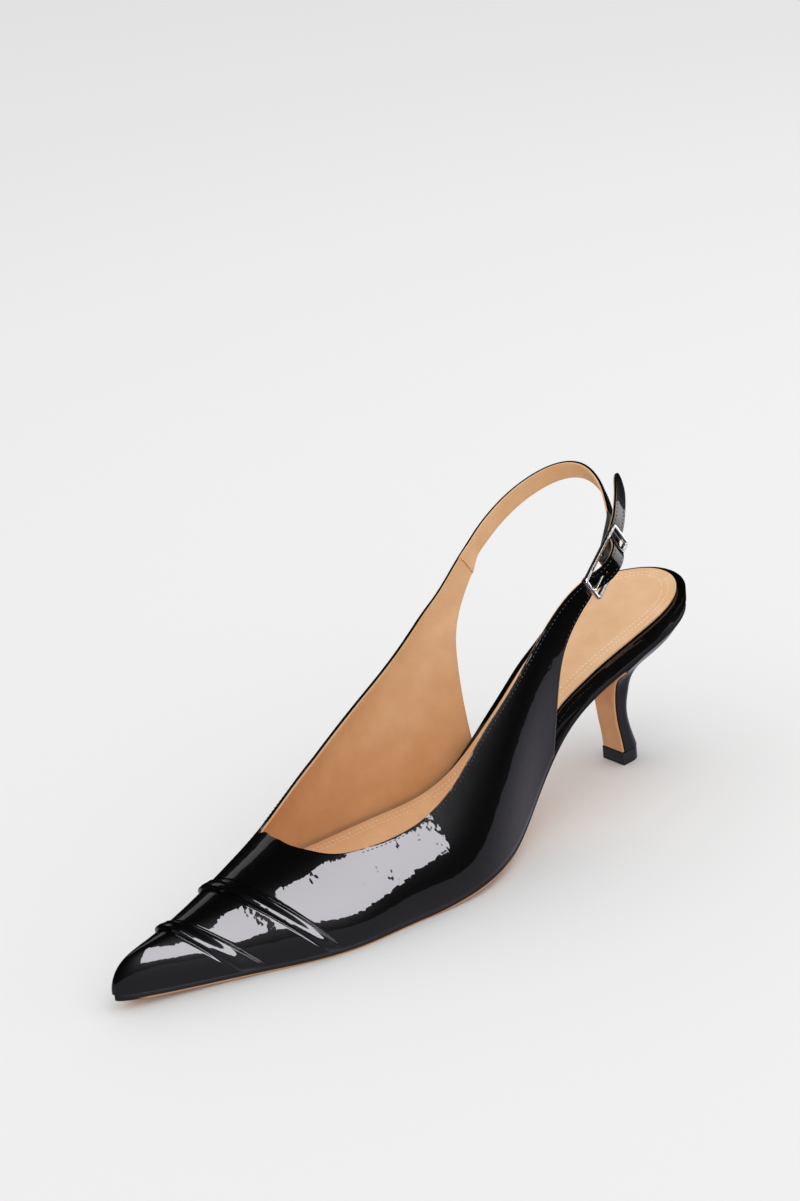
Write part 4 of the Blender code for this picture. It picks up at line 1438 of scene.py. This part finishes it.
    def inside_line(
        self, grid: np.ndarray, depth: float, turned: bool, inner: bool
    ) -> tuple[np.ndarray, np.ndarray]:
        """A line a little under the last column of a grid, with the directions out of the leather there.

        Args:
            grid: rows of points that end at the edge.
            depth: distance from the edge.
            turned: whether the grid's faces are turned.
            inner: whether the line is on the lining's face.

        Returns:
            The points and the directions.
        """
        points = np.array([at_distance(row[::-1], depth) for row in grid])
        across = unit(grid[:, -1] - grid[:, -4])
        along = unit(np.gradient(points, axis=0))
        out = unit(np.cross(along, across)) * (1 if turned else -1)
        if inner:
            return points - out * self.wall, -out
        return points, out

    def sew(self) -> None:
        """Sews stitches beside the collar, the back edges and the strap, outside and on the lining."""
        grids = self.grids()
        lateral, medial = grids[2][0], grids[3][0]
        whole = self.side_count + self.back_count + 1
        near, far = self.stitch_inset, self.lining_stitch_inset
        outside, inside = [], []
        last = len(lateral) - self.rows_past_stitches
        for grid, turned, end in ((lateral, True, last), (medial, False, whole)):
            outside.append(self.inside_line(grid[:end], near, turned, False))
            inside.append(self.inside_line(grid[:whole], far, turned, True))
            back = grid[self.side_count :, ::-1]
            outside.append(self.inside_line(back[: end - self.side_count], near, not turned, False))
            inside.append(self.inside_line(back[: whole - self.side_count], far, not turned, True))
        STITCHES.row("collar_stitches_outside", outside, BLACK_THREAD, Slot.PATENT)
        STITCHES.row("collar_stitches_lining", inside, TAN_THREAD, Slot.TAN)


# Sole


@dataclass(frozen=True)
class Sole:
    """The outsole, the patent-covered insole board and the sock on it."""

    outsole_inset: float = 0.0006
    # Where each layer starts and ends, in shares of the length
    outsole_ends: tuple[float, float] = (0.0003, 0.9997)
    insole_ends: tuple[float, float] = (0.0003, 0.982)
    sock_ends: tuple[float, float] = (0.0003, 0.960)
    # Where the ink stops covering the whole of the seat's edge
    seat_ends: tuple[float, float] = (0.12, 0.19)
    insole: float = 0.002
    rim: float = 0.0043
    lip: float = 0.0034
    sock: float = 0.0008
    stitch_insets: tuple[float, float] = (0.0030, 0.0052)
    # Where the board and the lip draw in and the board thins, in shares of the length
    board_draws_in: tuple[float, float] = (0.24, 0.31)
    lip_draws_in: tuple[float, float] = (0.30, 0.45)
    board_thins: tuple[float, float] = (0.30, 0.46)
    rows: int = 150
    columns: int = 41

    def stations(self, start: float, end: float, count: int) -> np.ndarray:
        """Shares of the length, closer together at the round ends."""
        return (1 - np.cos(np.linspace(rounded(start), rounded(end), count) * np.pi)) / 2

    def with_height(self, plan: np.ndarray, height: Any) -> np.ndarray:
        """Points with their height added."""
        return np.concatenate([plan, np.broadcast_to(height, plan.shape[:2])[..., None]], -1)

    def board_inset(self, along: Any) -> np.ndarray:
        """How far the insole lies inside the outline."""
        inside = UPPER.wall + 3 * LAST.gap
        return LAST.gap + (inside - LAST.gap) * smooth_step(*self.board_draws_in, along)

    def board_top(self, x: Any) -> np.ndarray:
        """Height of the insole's upper face."""
        along = x / LAST.length
        thinner = (self.rim - self.insole) * smooth_step(*self.board_thins, along)
        return LAST.feather(along) + self.rim - thinner

    def lip_at(self, along: Any) -> np.ndarray:
        """How far the sock lies inside the insole's edge."""
        return self.lip + (2 * LAST.gap - self.lip) * smooth_step(*self.lip_draws_in, along)

    def make_outsole(self) -> None:
        """The thin leather outsole, with its cut edge."""
        plan = LAST.footbed(self.stations(*self.outsole_ends, self.rows), self.outsole_inset, self.columns)
        bottom = self.with_height(plan, LAST.tread(plan[..., 0] / LAST.length))
        mesh = slab("outsole_dressed", bottom, bottom + [0, 0, LAST.outsole])
        obj = add_object("outsole_dressed", mesh, SOLE_LEATHER)
        round_edges(obj, 0.0003, 2)
        bake(obj)
        places = np.array([vert.co for vert in obj.data.vertices])
        along = (places[:, 0] + LIFT_MIDDLE) / LAST.length
        lift = places[:, 2] - LAST.tread(along) + LAST.outsole * (1 - smooth_step(*self.seat_ends, along))
        heights = obj.data.attributes.new("lift", "FLOAT", "POINT")
        heights.data.foreach_set("value", lift.astype(np.float32))
        settle(obj, Slot.SOLE, ["outsole"])

    def make_board(self) -> None:
        """The insole board, wrapped in patent leather."""
        stations = self.stations(*self.insole_ends, self.rows)
        plan = LAST.footbed(stations, self.board_inset(stations), self.columns)
        bottom = self.with_height(plan, LAST.feather(plan[..., 0] / LAST.length) + LAST.gap)
        top = self.with_height(plan, self.board_top(plan[..., 0]))
        mesh = slab("insole_board", bottom, top)
        make_piece("insole_board", mesh, PATENT, Slot.PATENT, "insole", 0.0008, 4)

    def sock_plan(self, extra: float) -> np.ndarray:
        """Rows across the sock.

        Args:
            extra: how far inside the sock's edge they end.

        Returns:
            X and Y of the points.
        """
        stations = self.stations(*self.sock_ends, self.rows)
        inset = self.board_inset(stations) + self.lip_at(stations) + extra
        return LAST.footbed(stations, inset, self.columns)

    def make_sock(self) -> None:
        """The tan sock, soft at its edge, with two rows of stitches that hold its padding."""
        plan = self.sock_plan(0)
        bottom = self.with_height(plan, self.board_top(plan[..., 0]) + 2 * LAST.gap)
        mesh = slab("sock_dressed", bottom, bottom + [0, 0, self.sock])
        make_piece("sock_dressed", mesh, SOCK_LEATHER, Slot.TAN, "sock", 0.0004)
        lines = []
        for inset in self.stitch_insets:
            plan = self.sock_plan(inset)[3:-3]
            points = self.with_height(plan, self.board_top(plan[..., 0]) + 2 * LAST.gap + self.sock)
            ring = np.concatenate([points[::-1, 0], points[0, 1:-1], points[:, -1]])
            lines.append((ring, np.tile([0.0, 0.0, 1.0], (len(ring), 1))))
        STITCHES.row("sock_stitches", lines, CREAM_THREAD, Slot.TAN)

    def dress(self) -> None:
        """Makes the three layers."""
        self.make_outsole()
        self.make_board()
        self.make_sock()


# Heel


@dataclass(frozen=True)
class Heel:
    """The kitten heel: a patent-covered block, its leather breast and the top lift."""

    lift: float = 0.005
    breast: float = 0.001
    levels: int = 90
    first_turn: float = 0.03
    round_points: int = 26
    straight_points: int = 8
    breast_points: int = 9

    def row(self, height: float) -> tuple[float, float, float, float]:
        """Back, front and half width in metres and the round share, at a share of the height."""
        back, front, half, roundness = (float(spline(HEEL, k, height)) for k in (1, 2, 3, 4))
        return back * LAST.length, front * LAST.length, half * LAST.seat, roundness

    def height(self, x: Any, share: float) -> Any:
        """From the top of the top lift at 0 to just under the sole at 1."""
        low = self.lift + LAST.gap
        return low + share * (LAST.tread(x / LAST.length) - LAST.gap - low)

    def edge(self, x: np.ndarray, y: np.ndarray, inset: float) -> tuple[np.ndarray, np.ndarray]:
        """The two sides of a ring, kept inside the seat's outline.

        Args:
            x: X of its points.
            y: half its width there.
            inset: how far inside the outline it stays.

        Returns:
            Y on the lateral side and on the medial side.
        """
        along = x / LAST.length
        return (
            np.minimum(y, LAST.side_y(along, Side.LATERAL) - inset),
            np.maximum(-y, LAST.side_y(along, Side.MEDIAL) + inset),
        )

    def ring(
        self, back: float, front: float, half: float, roundness: float, height_at: Callable[[Any], Any]
    ) -> np.ndarray:
        """A ring with a round back and a straight front.

        Args:
            back: X of its back.
            front: X of its front.
            half: half its width.
            roundness: the share of its depth that is round.
            height_at: gives the height at an X.

        Returns:
            Its points, down the lateral side and back up the medial side.
        """
        turn = np.linspace(self.first_turn, np.pi / 2, self.round_points)
        depth = (front - back) * roundness
        x = back + depth * (1 - np.cos(turn))
        straight = np.linspace(0, 1, self.straight_points)[1:]
        x = np.append(x, back + depth + (front - back - depth) * straight)
        y = np.append(half * np.sin(turn), [half] * len(straight))
        lateral, medial = self.edge(x, y, SOLE.outsole_inset)
        sides = [np.stack([x, side, height_at(x)], -1) for side in (lateral, medial)]
        return np.concatenate([sides[0], sides[1][::-1]])

    def dress(self) -> None:
        """Makes the block, the breast and the top lift."""
        levels = np.linspace(0, 1, self.levels)
        rings = [self.ring(*self.row(level), lambda x, k=level: self.height(x, k)) for level in levels]
        mesh = loft("heel_block", rings)
        make_piece("heel_block", mesh, PATENT, Slot.PATENT, "heel", 0.0004)
        layers: list[list[Any]] = [[], []]
        for level in levels:
            _, front, half, _ = self.row(level)
            for layer, x in zip(layers, (front + LAST.gap, front + LAST.gap + self.breast)):
                reach = np.array([half - LAST.gap])
                lateral, medial = self.edge(np.array([x]), reach, 2 * SOLE.outsole_inset)
                y = np.linspace(lateral[0], medial[0], self.breast_points)
                layer.append(np.stack([0 * y + x, y, 0 * y + self.height(x, level)], -1))
        mesh = slab("breast_cover", *(np.array(layer) for layer in layers))
        make_piece("breast_cover", mesh, BREAST_LEATHER, Slot.TAN, "heel_breast", 0.0002)
        back, front, half, roundness = self.row(0)
        front += LAST.gap + self.breast
        heights = (0.0, self.lift / 2, self.lift)
        rings = [self.ring(back, front, half, roundness, lambda x, z=z: 0 * x + z) for z in heights]
        mesh = loft("top_lift_dressed", rings)
        make_piece("top_lift_dressed", mesh, RUBBER, Slot.RUBBER, "top_lift", 0.0003, 3)


# Buckle


@dataclass(frozen=True)
class Buckle:
    """The rectangular buckle, its centre bar and prong, in its own directions."""

    length: float = 0.0259
    width: float = 0.011
    bar: float = 0.0015
    corner: float = 0.0009
    round: float = 0.00035
    centre: tuple[float, float, float] = (0.0578, 0.0263, 0.0947)
    slope: float = math.radians(31.5)
    turn: float = math.radians(14.2)
    lean: float = math.radians(9.5)
    bar_radius: float = 0.0006
    prong_radius: float = 0.0005
    hole_radius: float = 0.0006
    corner_points: int = 9
    section_points: int = 5
    bar_rings: int = 9
    bar_sides: int = 20
    prong_sides: int = 16
    # Degrees that the prong is turned round the bar, from its end to its shank
    prong_turn: tuple[float, float] = (-160, 90)
    bend_points: int = 40
    shank_start: float = 0.04
    shank_points: int = 30
    tip_blunt: float = 0.02
    hole_sides: int = 16
    prong_hole: tuple[float, float] = (-0.46, -0.10)
    strap_bulge: float = 0.0080
    spare_holes: tuple[float, ...] = (-0.17, 0.20)

    def axes(self) -> np.ndarray:
        """Heelwards along the strap, up across it, and out of the shoe."""
        run = -math.cos(self.slope)
        along = Vector((run * math.cos(self.turn), run * math.sin(self.turn), math.sin(self.slope)))
        level = Vector((-math.sin(self.turn), math.cos(self.turn), 0))
        out = math.cos(self.lean) * level + math.sin(self.lean) * level.cross(along)
        return np.array([along, out.cross(along), out])

    def place(self, along: Any, out: Any, up: Any = 0.0) -> np.ndarray:
        """A point given in the buckle's directions, in metres from the middle of its centre bar."""
        heelwards, across, outwards = self.axes()
        return np.array(self.centre) + along * heelwards + out * outwards + up * across

    def place_rows(self, points: np.ndarray) -> np.ndarray:
        """Points given as rows of along, up and out."""
        return np.array(self.centre) + points @ self.axes()

    def prong_height(self) -> float:
        """The prong's middle line, just clear of the frame's outer face."""
        return self.bar / 2 + LAST.gap + self.prong_radius

    def make_frame(self) -> None:
        """A cast frame with rounded edges, and the bar across its middle."""
        half = np.array([self.length - self.bar, self.width - self.bar]) / 2
        path, away = round_box(half - self.corner, self.corner, self.corner_points)
        flat = np.full(2, self.bar / 2 - self.round)
        section, _ = round_box(flat, self.round, self.section_points)
        rings = []
        for point, direction in zip(path, away):
            rings.append(self.place_rows(np.array([[*(point + direction * u), v] for u, v in section])))
        frame_obj = add_object("buckle_frame_cast", loft("buckle_frame_cast", rings, closed=True), METAL)
        settle(frame_obj, Slot.METAL, ["buckle_frame"])
        reach = self.width / 2 - self.bar / 2
        rod = []
        turned = np.arange(self.bar_sides) / self.bar_sides * 2 * np.pi
        across, out = self.bar_radius * np.cos(turned), self.bar_radius * np.sin(turned)
        for y in np.linspace(-reach, reach, self.bar_rings):
            rod.append(self.place_rows(np.stack([across, 0 * turned + y, out], -1)))
        settle(add_object("centre_bar", loft("centre_bar", rod), METAL), Slot.METAL)

    def prong_rings(self, grow: float = 0.0) -> list[np.ndarray]:
        """Rings round the prong's line, from its turn on the bar to its tip.

        Args:
            grow: what the rings are wider by.

        Returns:
            The rings.
        """
        radius = self.bar_radius + LAST.gap + self.prong_radius
        angles = np.radians(np.linspace(*self.prong_turn, self.bend_points))
        bend = [(radius * math.cos(a), radius * math.sin(a)) for a in angles]
        reach = -(self.length - self.bar) / 2 - self.prong_radius
        rise = self.prong_height() - radius
        shares = np.linspace(self.shank_start, 1, self.shank_points)
        bend += [(reach * share, radius + rise * share) for share in shares]
        line = np.array([(x, 0.0, z) for x, z in bend])
        left = run_along(line[::-1])[::-1]
        from_tip = np.clip(left / self.prong_radius, 0, 1)
        tip = np.sqrt(np.clip(1 - (1 - from_tip) ** 2, self.tip_blunt, 1))
        radii = (self.prong_radius + grow) * tip
        return [self.place_rows(ring) for ring in tube(line, radii, self.prong_sides)]

    def make_prong(self) -> None:
        """The round prong, turned about the centre bar."""
        obj = add_object("prong", loft("prong", self.prong_rings()), METAL)
        settle(obj, Slot.METAL, ["buckle_prong"])

    def punch(self) -> list[Any]:
        """Cutters for the prong's own hole and the spare holes beside it along the strap."""
        high = self.prong_height()
        start, stop = (share * self.length for share in self.prong_hole)
        ways = [((start, high), (stop, high), self.prong_radius + LAST.gap)]
        for share in self.spare_holes:
            x = share * self.length
            ways.append(((x, 0.0), (x, self.strap_bulge), self.hole_radius))
        turned = np.arange(self.hole_sides) / self.hole_sides * 2 * np.pi
        cutters = []
        for start, stop, radius in ways:
            along = unit(np.array(stop) - np.array(start))
            rings = []
            for x, out in (start, stop):
                across = radius * np.sin(turned)
                ring = np.stack([x - along[1] * across, radius * np.cos(turned), out + along[0] * across], -1)
                rings.append(self.place_rows(ring))
            obj = bpy.data.objects.new("punch", loft("punch", rings))
            bpy.context.scene.collection.objects.link(obj)
            obj.hide_render = True
            cutters.append(obj)
        return cutters

    def dress(self) -> None:
        """Makes the frame with its bar, and the prong."""
        self.make_frame()
        self.make_prong()


# Sling strap


@dataclass(frozen=True)
class Sling:
    """The strap round the heel, lined with leather, and the elastic between it and the buckle."""

    thickness: float = 0.0014
    skin: float = 0.0008
    rise: float = 0.1212
    tilt: float = math.radians(23.4)
    front: float = 0.0775
    loop_length: float = 0.0513
    loop_width: float = 0.048
    elastic: float = 0.001
    elastic_width: float = 0.0066
    elastic_lap: float = 0.04
    elastic_return: float = 0.0038
    elastic_rows: int = 160
    # Its room under the strap, the share over which it turns to the buckle, and how far its end sinks
    elastic_bed: float = 0.0001
    elastic_twist: float = 0.5
    elastic_sink: float = 1.4
    # The medial quarter's last rows that the strap's edges follow, and where its own route takes over
    quarter_rows: tuple[int, int] = (13, 4)
    route_start: float = 0.12
    route_rows: int = 15
    fine: int = 4
    count: int = 240
    columns: int = 9

    def loop(self, share: Any) -> np.ndarray:
        """The strap's middle line in its tilted plane."""
        plan = chain(LOOP, share)
        x = self.front - plan[:, 0] * self.loop_length
        return np.stack([x, plan[:, 1] * self.loop_width, self.rise - math.tan(self.tilt) * x], -1)

    def up(self) -> np.ndarray:
        """The direction across the strap's width."""
        return np.array([math.sin(self.tilt), 0, math.cos(self.tilt)])

    def edges(self) -> tuple[np.ndarray, np.ndarray, np.ndarray]:
        """The strap from the seam at the quarter's end.

        Returns:
            Its lower edge, its upper edge and the directions out of it.
        """
        rows, every = self.quarter_rows
        lap = UPPER.quarter(Side.MEDIAL)[-rows::every]
        sides = np.cross(lap[:, -1] - lap[:, 0], np.gradient(lap.mean(axis=1), axis=0))
        sides *= np.sign(sides[:, 1:2])
        lap = lap + (unit(sides) * UPPER.wall / 2)[:, None]
        loop = self.loop(np.linspace(self.route_start, 1, self.route_rows))
        half = self.up() * UPPER.strap_width / 2
        share = np.linspace(0, 1, self.fine * self.count)
        low = chain(np.concatenate([lap[:, 0], loop - half]), share)
        high = chain(np.concatenate([lap[:, -1], loop + half]), share)
        middle = (low + high) / 2
        seam = int(np.argmin(np.linalg.norm(middle - lap[-1].mean(axis=0), axis=1)))
        outs = unit(np.cross(high - low, np.gradient(middle, axis=0)))
        kept = np.arange(seam + self.fine - 1, len(low), self.fine)
        first = [side[None] for side in (lap[-1, 0], lap[-1, -1], outs[seam])]
        return tuple(np.concatenate([start, line[kept]]) for start, line in zip(first, (low, high, outs)))

    def band(
        self, name: str, edges: tuple[np.ndarray, np.ndarray, np.ndarray], inner: float, outer: float
    ) -> Any:
        """Makes a band between two edges and two depths.

        Args:
            name: the mesh's name.
            edges: its lower edge, its upper edge and the directions out of it.
            inner: where its inner face lies along those directions.
            outer: where its outer face lies.

        Returns:
            The mesh.
        """
        low, high, outs = edges
        share = np.linspace(0, 1, self.columns)[None, :, None]
        middle = low[:, None] * (1 - share) + high[:, None] * share
        return slab(name, middle + (outs * inner)[:, None], middle + (outs * outer)[:, None])

    def make_strap(self) -> None:
        """The patent face and the tan lining of the strap, and their stitches."""
        low, high, outs = self.edges()
        half = self.thickness / 2
        split = half - self.skin
        mesh = self.band("sling_skin", (low, high, outs), split, half)
        make_piece("sling_skin", mesh, PATENT, Slot.PATENT, "sling_strap", 0.0003, 3)
        mesh = self.band("sling_lining", (low, high, outs), -half, split - GLUE)
        make_piece("sling_lining", mesh, LINING, Slot.TAN, "", 0.0002)
        across = unit(high - low)
        face = outs * self.thickness / 2
        for name, sign, inset, finish, slot in (
            ("sling_stitches_outside", 1, 0.0011, BLACK_THREAD, Slot.PATENT),
            ("sling_stitches_lining", -1, 0.0014, TAN_THREAD, Slot.TAN),
        ):
            rows = (low + across * inset, high - across * inset)
            STITCHES.row(name, [(row + sign * face, sign * outs) for row in rows], finish, slot)

    def make_elastic(self) -> None:
        """The elastic, from inside the strap's end round the centre bar and back on itself."""
        end = self.loop(np.linspace(1 - self.elastic_lap, 1, 4))
        inward = np.cross(np.gradient(end, axis=0), self.up())
        inward = unit(inward * -np.sign(inward[:, 1:2]))
        end = end + inward * self.elastic_bed
        free = [BUCKLE.place(along * BUCKLE.length, out) for along, out in ELASTIC_ROUTE]
        radius = BUCKLE.bar_radius + LAST.gap + self.elastic / 2
        turn = np.radians(np.linspace(-80, -280, 9))
        bend = [BUCKLE.place(radius * math.cos(a), radius * math.sin(a)) for a in turn]
        sink = self.elastic_sink
        back = [BUCKLE.place(self.elastic_return * s, radius * (1 - sink * s**1.5)) for s in (0.5, 1)]
        share = np.linspace(0, 1, self.elastic_rows)
        centres = chain(np.array([*end, *free, *bend, *back]), share)
        blend = smooth_step(0, self.elastic_twist, share)[:, None]
        across = self.up() * (1 - blend) + BUCKLE.axes()[1] * blend
        outs = unit(np.cross(across, np.gradient(centres, axis=0)))
        half = across * self.elastic_width / 2
        tape = (centres - half, centres + half, outs)
        mesh = self.band("elastic_tape", tape, -self.elastic / 2, self.elastic / 2)
        obj = add_object("elastic_tape", mesh, ELASTIC)
        round_edges(obj, 0.0002, 2)
        bake(obj)
        slot_cut = add_object("elastic_slot", loft("elastic_slot", BUCKLE.prong_rings(LAST.gap)), METAL)
        cut = obj.modifiers.new("slot for the prong", "BOOLEAN")
        cut.operation = "DIFFERENCE"
        cut.object = slot_cut
        bake(obj)
        bpy.data.objects.remove(slot_cut)
        settle(obj, Slot.ELASTIC, ["elastic"])

    def dress(self) -> None:
        """Makes the strap and the elastic."""
        self.make_strap()
        self.make_elastic()


UPPER = Upper()
SOLE = Sole()
HEEL_UNIT = Heel()
BUCKLE = Buckle()
SLING = Sling()
STITCHES = Stitching()


# Studio


@dataclass(frozen=True)
class Studio:
    """A pale floor, soft light and the camera at the photograph's angle."""

    camera: tuple[float, float, float] = (0.5238754, 0.5426660, 0.3873900)
    azimuth: float = math.radians(51.85)
    elevation: float = math.radians(22.7)
    roll: float = math.radians(-6.52)
    focal_px: float = 2238.8
    long_side_px: float = 1201.0
    sensor_mm: float = 36.0

    def place_camera(self) -> None:
        """The camera, with the roll that the photograph was turned by."""
        cos_e, sin_e = math.cos(self.elevation), math.sin(self.elevation)
        cos_a, sin_a = math.cos(self.azimuth), math.sin(self.azimuth)
        back = Vector((cos_e * cos_a, cos_e * sin_a, sin_e))
        level = Vector((-sin_a, cos_a, 0))
        upright = back.cross(level)
        right = math.cos(self.roll) * level + math.sin(self.roll) * upright
        up = -math.sin(self.roll) * level + math.cos(self.roll) * upright
        data = bpy.data.cameras.new("camera")
        data.sensor_fit = "AUTO"
        data.sensor_width = self.sensor_mm
        data.lens = self.focal_px / self.long_side_px * self.sensor_mm
        data.clip_start = 0.01
        obj = bpy.data.objects.new("camera", data)
        obj.matrix_world = Matrix.Translation(self.camera) @ Matrix((right, up, back)).transposed().to_4x4()
        bpy.context.scene.collection.objects.link(obj)
        bpy.context.scene.camera = obj

    def make_floor(self) -> None:
        """A wide sheet of pale paper."""
        mesh = bpy.data.meshes.new("floor")
        reach = 8.0
        corners = [(-reach, -reach, 0), (reach, -reach, 0), (reach, reach, 0), (-reach, reach, 0)]
        mesh.from_pydata(corners, [], [(0, 1, 2, 3)])
        floor = bpy.data.objects.new("floor", mesh)
        bpy.context.scene.collection.objects.link(floor)
        mesh.materials.append(material_of(PAPER))
        floor.visible_glossy = False

    def light_world(self) -> None:
        """Even light from all round for matt things, and darkness for things that mirror it."""
        world = bpy.data.worlds.new("studio")
        bpy.context.scene.world = world
        world.use_nodes = True
        tree = world.node_tree
        background = tree.nodes["Background"]
        path = add_node(tree, "ShaderNodeLightPath")
        mix = add_node(
            tree,
            "ShaderNodeMix",
            {"data_type": "RGBA"},
            {"Factor": path.outputs["Is Glossy Ray"], "A": linear("#F5F5F5"), "B": linear("#0C0C0D")},
        )
        tree.links.new(mix.outputs["Result"], background.inputs["Color"])

    def softbox(self, name: str, centre: Point, aim: Point, size: float, power: float) -> None:
        """A square light that reflections don't show.

        Args:
            name: its name.
            centre: its place.
            aim: the point that it faces.
            size: its width.
            power: its power in watts.
        """
        data = bpy.data.lights.new(name, "AREA")
        data.shape = "RECTANGLE"
        data.size = data.size_y = size
        data.energy = power
        obj = bpy.data.objects.new(name, data)
        facing = (Vector(aim) - Vector(centre)).to_track_quat("-Z", "Y")
        obj.matrix_world = Matrix.Translation(centre) @ facing.to_matrix().to_4x4()
        obj.visible_glossy = False
        obj.visible_camera = False
        bpy.context.scene.collection.objects.link(obj)

    def reflector(self, name: str, corners: Sequence[Point], strength: float, tint: str = "#FFFFFF") -> None:
        """A glowing card that is seen only in glossy surfaces.

        Args:
            name: its name.
            corners: its corners.
            strength: how bright it is.
            tint: its colour.
        """
        mesh = bpy.data.meshes.new(name)
        mesh.from_pydata(corners, [], [tuple(range(len(corners)))])
        material = bpy.data.materials.new(name)
        material.use_nodes = True
        tree = material.node_tree
        tree.nodes.clear()
        glow = add_node(tree, "ShaderNodeEmission", None, {"Color": linear(tint), "Strength": strength})
        add_node(tree, "ShaderNodeOutputMaterial", None, {"Surface": glow.outputs[0]})
        mesh.materials.append(material)
        obj = bpy.data.objects.new(name, mesh)
        bpy.context.scene.collection.objects.link(obj)
        obj.visible_camera = obj.visible_diffuse = obj.visible_shadow = obj.visible_transmission = False

    def dress(self) -> None:
        """Sets up the whole studio."""
        bpy.context.scene.view_settings.view_transform = "Standard"
        self.place_camera()
        self.make_floor()
        self.light_world()
        self.softbox("key", (-0.4, 0.3, 1.6), (0.08, 0, 0), 1.2, 6.0)
        # A tall window on the outer side, which makes the bright patch on the forefoot
        window = [(0.40, 0.20), (-0.27, -0.18), (0.02, 0.46), (0.13, 1.0)]
        window += [(0.22, 1.78), (0.28, 2.6), (0.42, 2.6)]
        self.reflector("window", [(0.123 + 6 * x, 6.02, 0.03 + 6 * z) for x, z in window], 13.0, "#F8F5FC")
        # A dim sheet under the shoe, which greys the side that faces the floor
        floor_card = [(-0.11, -0.06), (0.32, -0.06), (0.32, 0.14), (0.21, 0.12), (0.175, 0.07)]
        floor_card += [(0.14, 0.052), (0.10, 0.055), (0.05, 0.072), (-0.03, 0.078), (-0.11, 0.08)]
        self.reflector("floor_card", [(x, y, 0.0006) for x, y in floor_card], 0.36, "#F0EAFA")
        # Three upright cards: for the buckle and the strap, for the rims, and for the heel's back
        self.reflector("buckle_card", self.upright(163, 3.0, 1.7, -0.75, 2.2), 1.9)
        self.reflector("rim_card", self.upright(127, 3.0, 0.8, 0.2, 1.6), 2.2)
        self.reflector("back_card", self.upright(-103, 3.0, 1.2, 0.9, 2.0), 0.5)

    def upright(self, azimuth: float, distance: float, width: float, low: float, high: float) -> list[Point]:
        """Corners of an upright card that faces the shoe.

        Args:
            azimuth: its direction from the shoe, in degrees from the toe towards the wearer's left.
            distance: how far off it stands.
            width: its width.
            low: height of its lower edge.
            high: height of its upper edge.

        Returns:
            The corners.
        """
        turn = math.radians(azimuth)
        ahead = np.array([math.cos(turn), math.sin(turn), 0.0])
        side = np.array([-math.sin(turn), math.cos(turn), 0.0]) * width / 2
        foot = np.array([0.08, 0.0, 0.0]) + ahead * distance
        corners = ((-1, low), (1, low), (1, high), (-1, high))
        return [tuple(foot + side * k + np.array([0, 0, z])) for k, z in corners]


def main() -> None:
    """Builds the studio, then the shoe piece by piece."""
    logging.basicConfig(level=logging.INFO, format="%(message)s")
    Studio().dress()
    for unit_of_shoe in (UPPER, SOLE, HEEL_UNIT, SLING, BUCKLE):
        unit_of_shoe.dress()


if __name__ == "__main__":
    main()
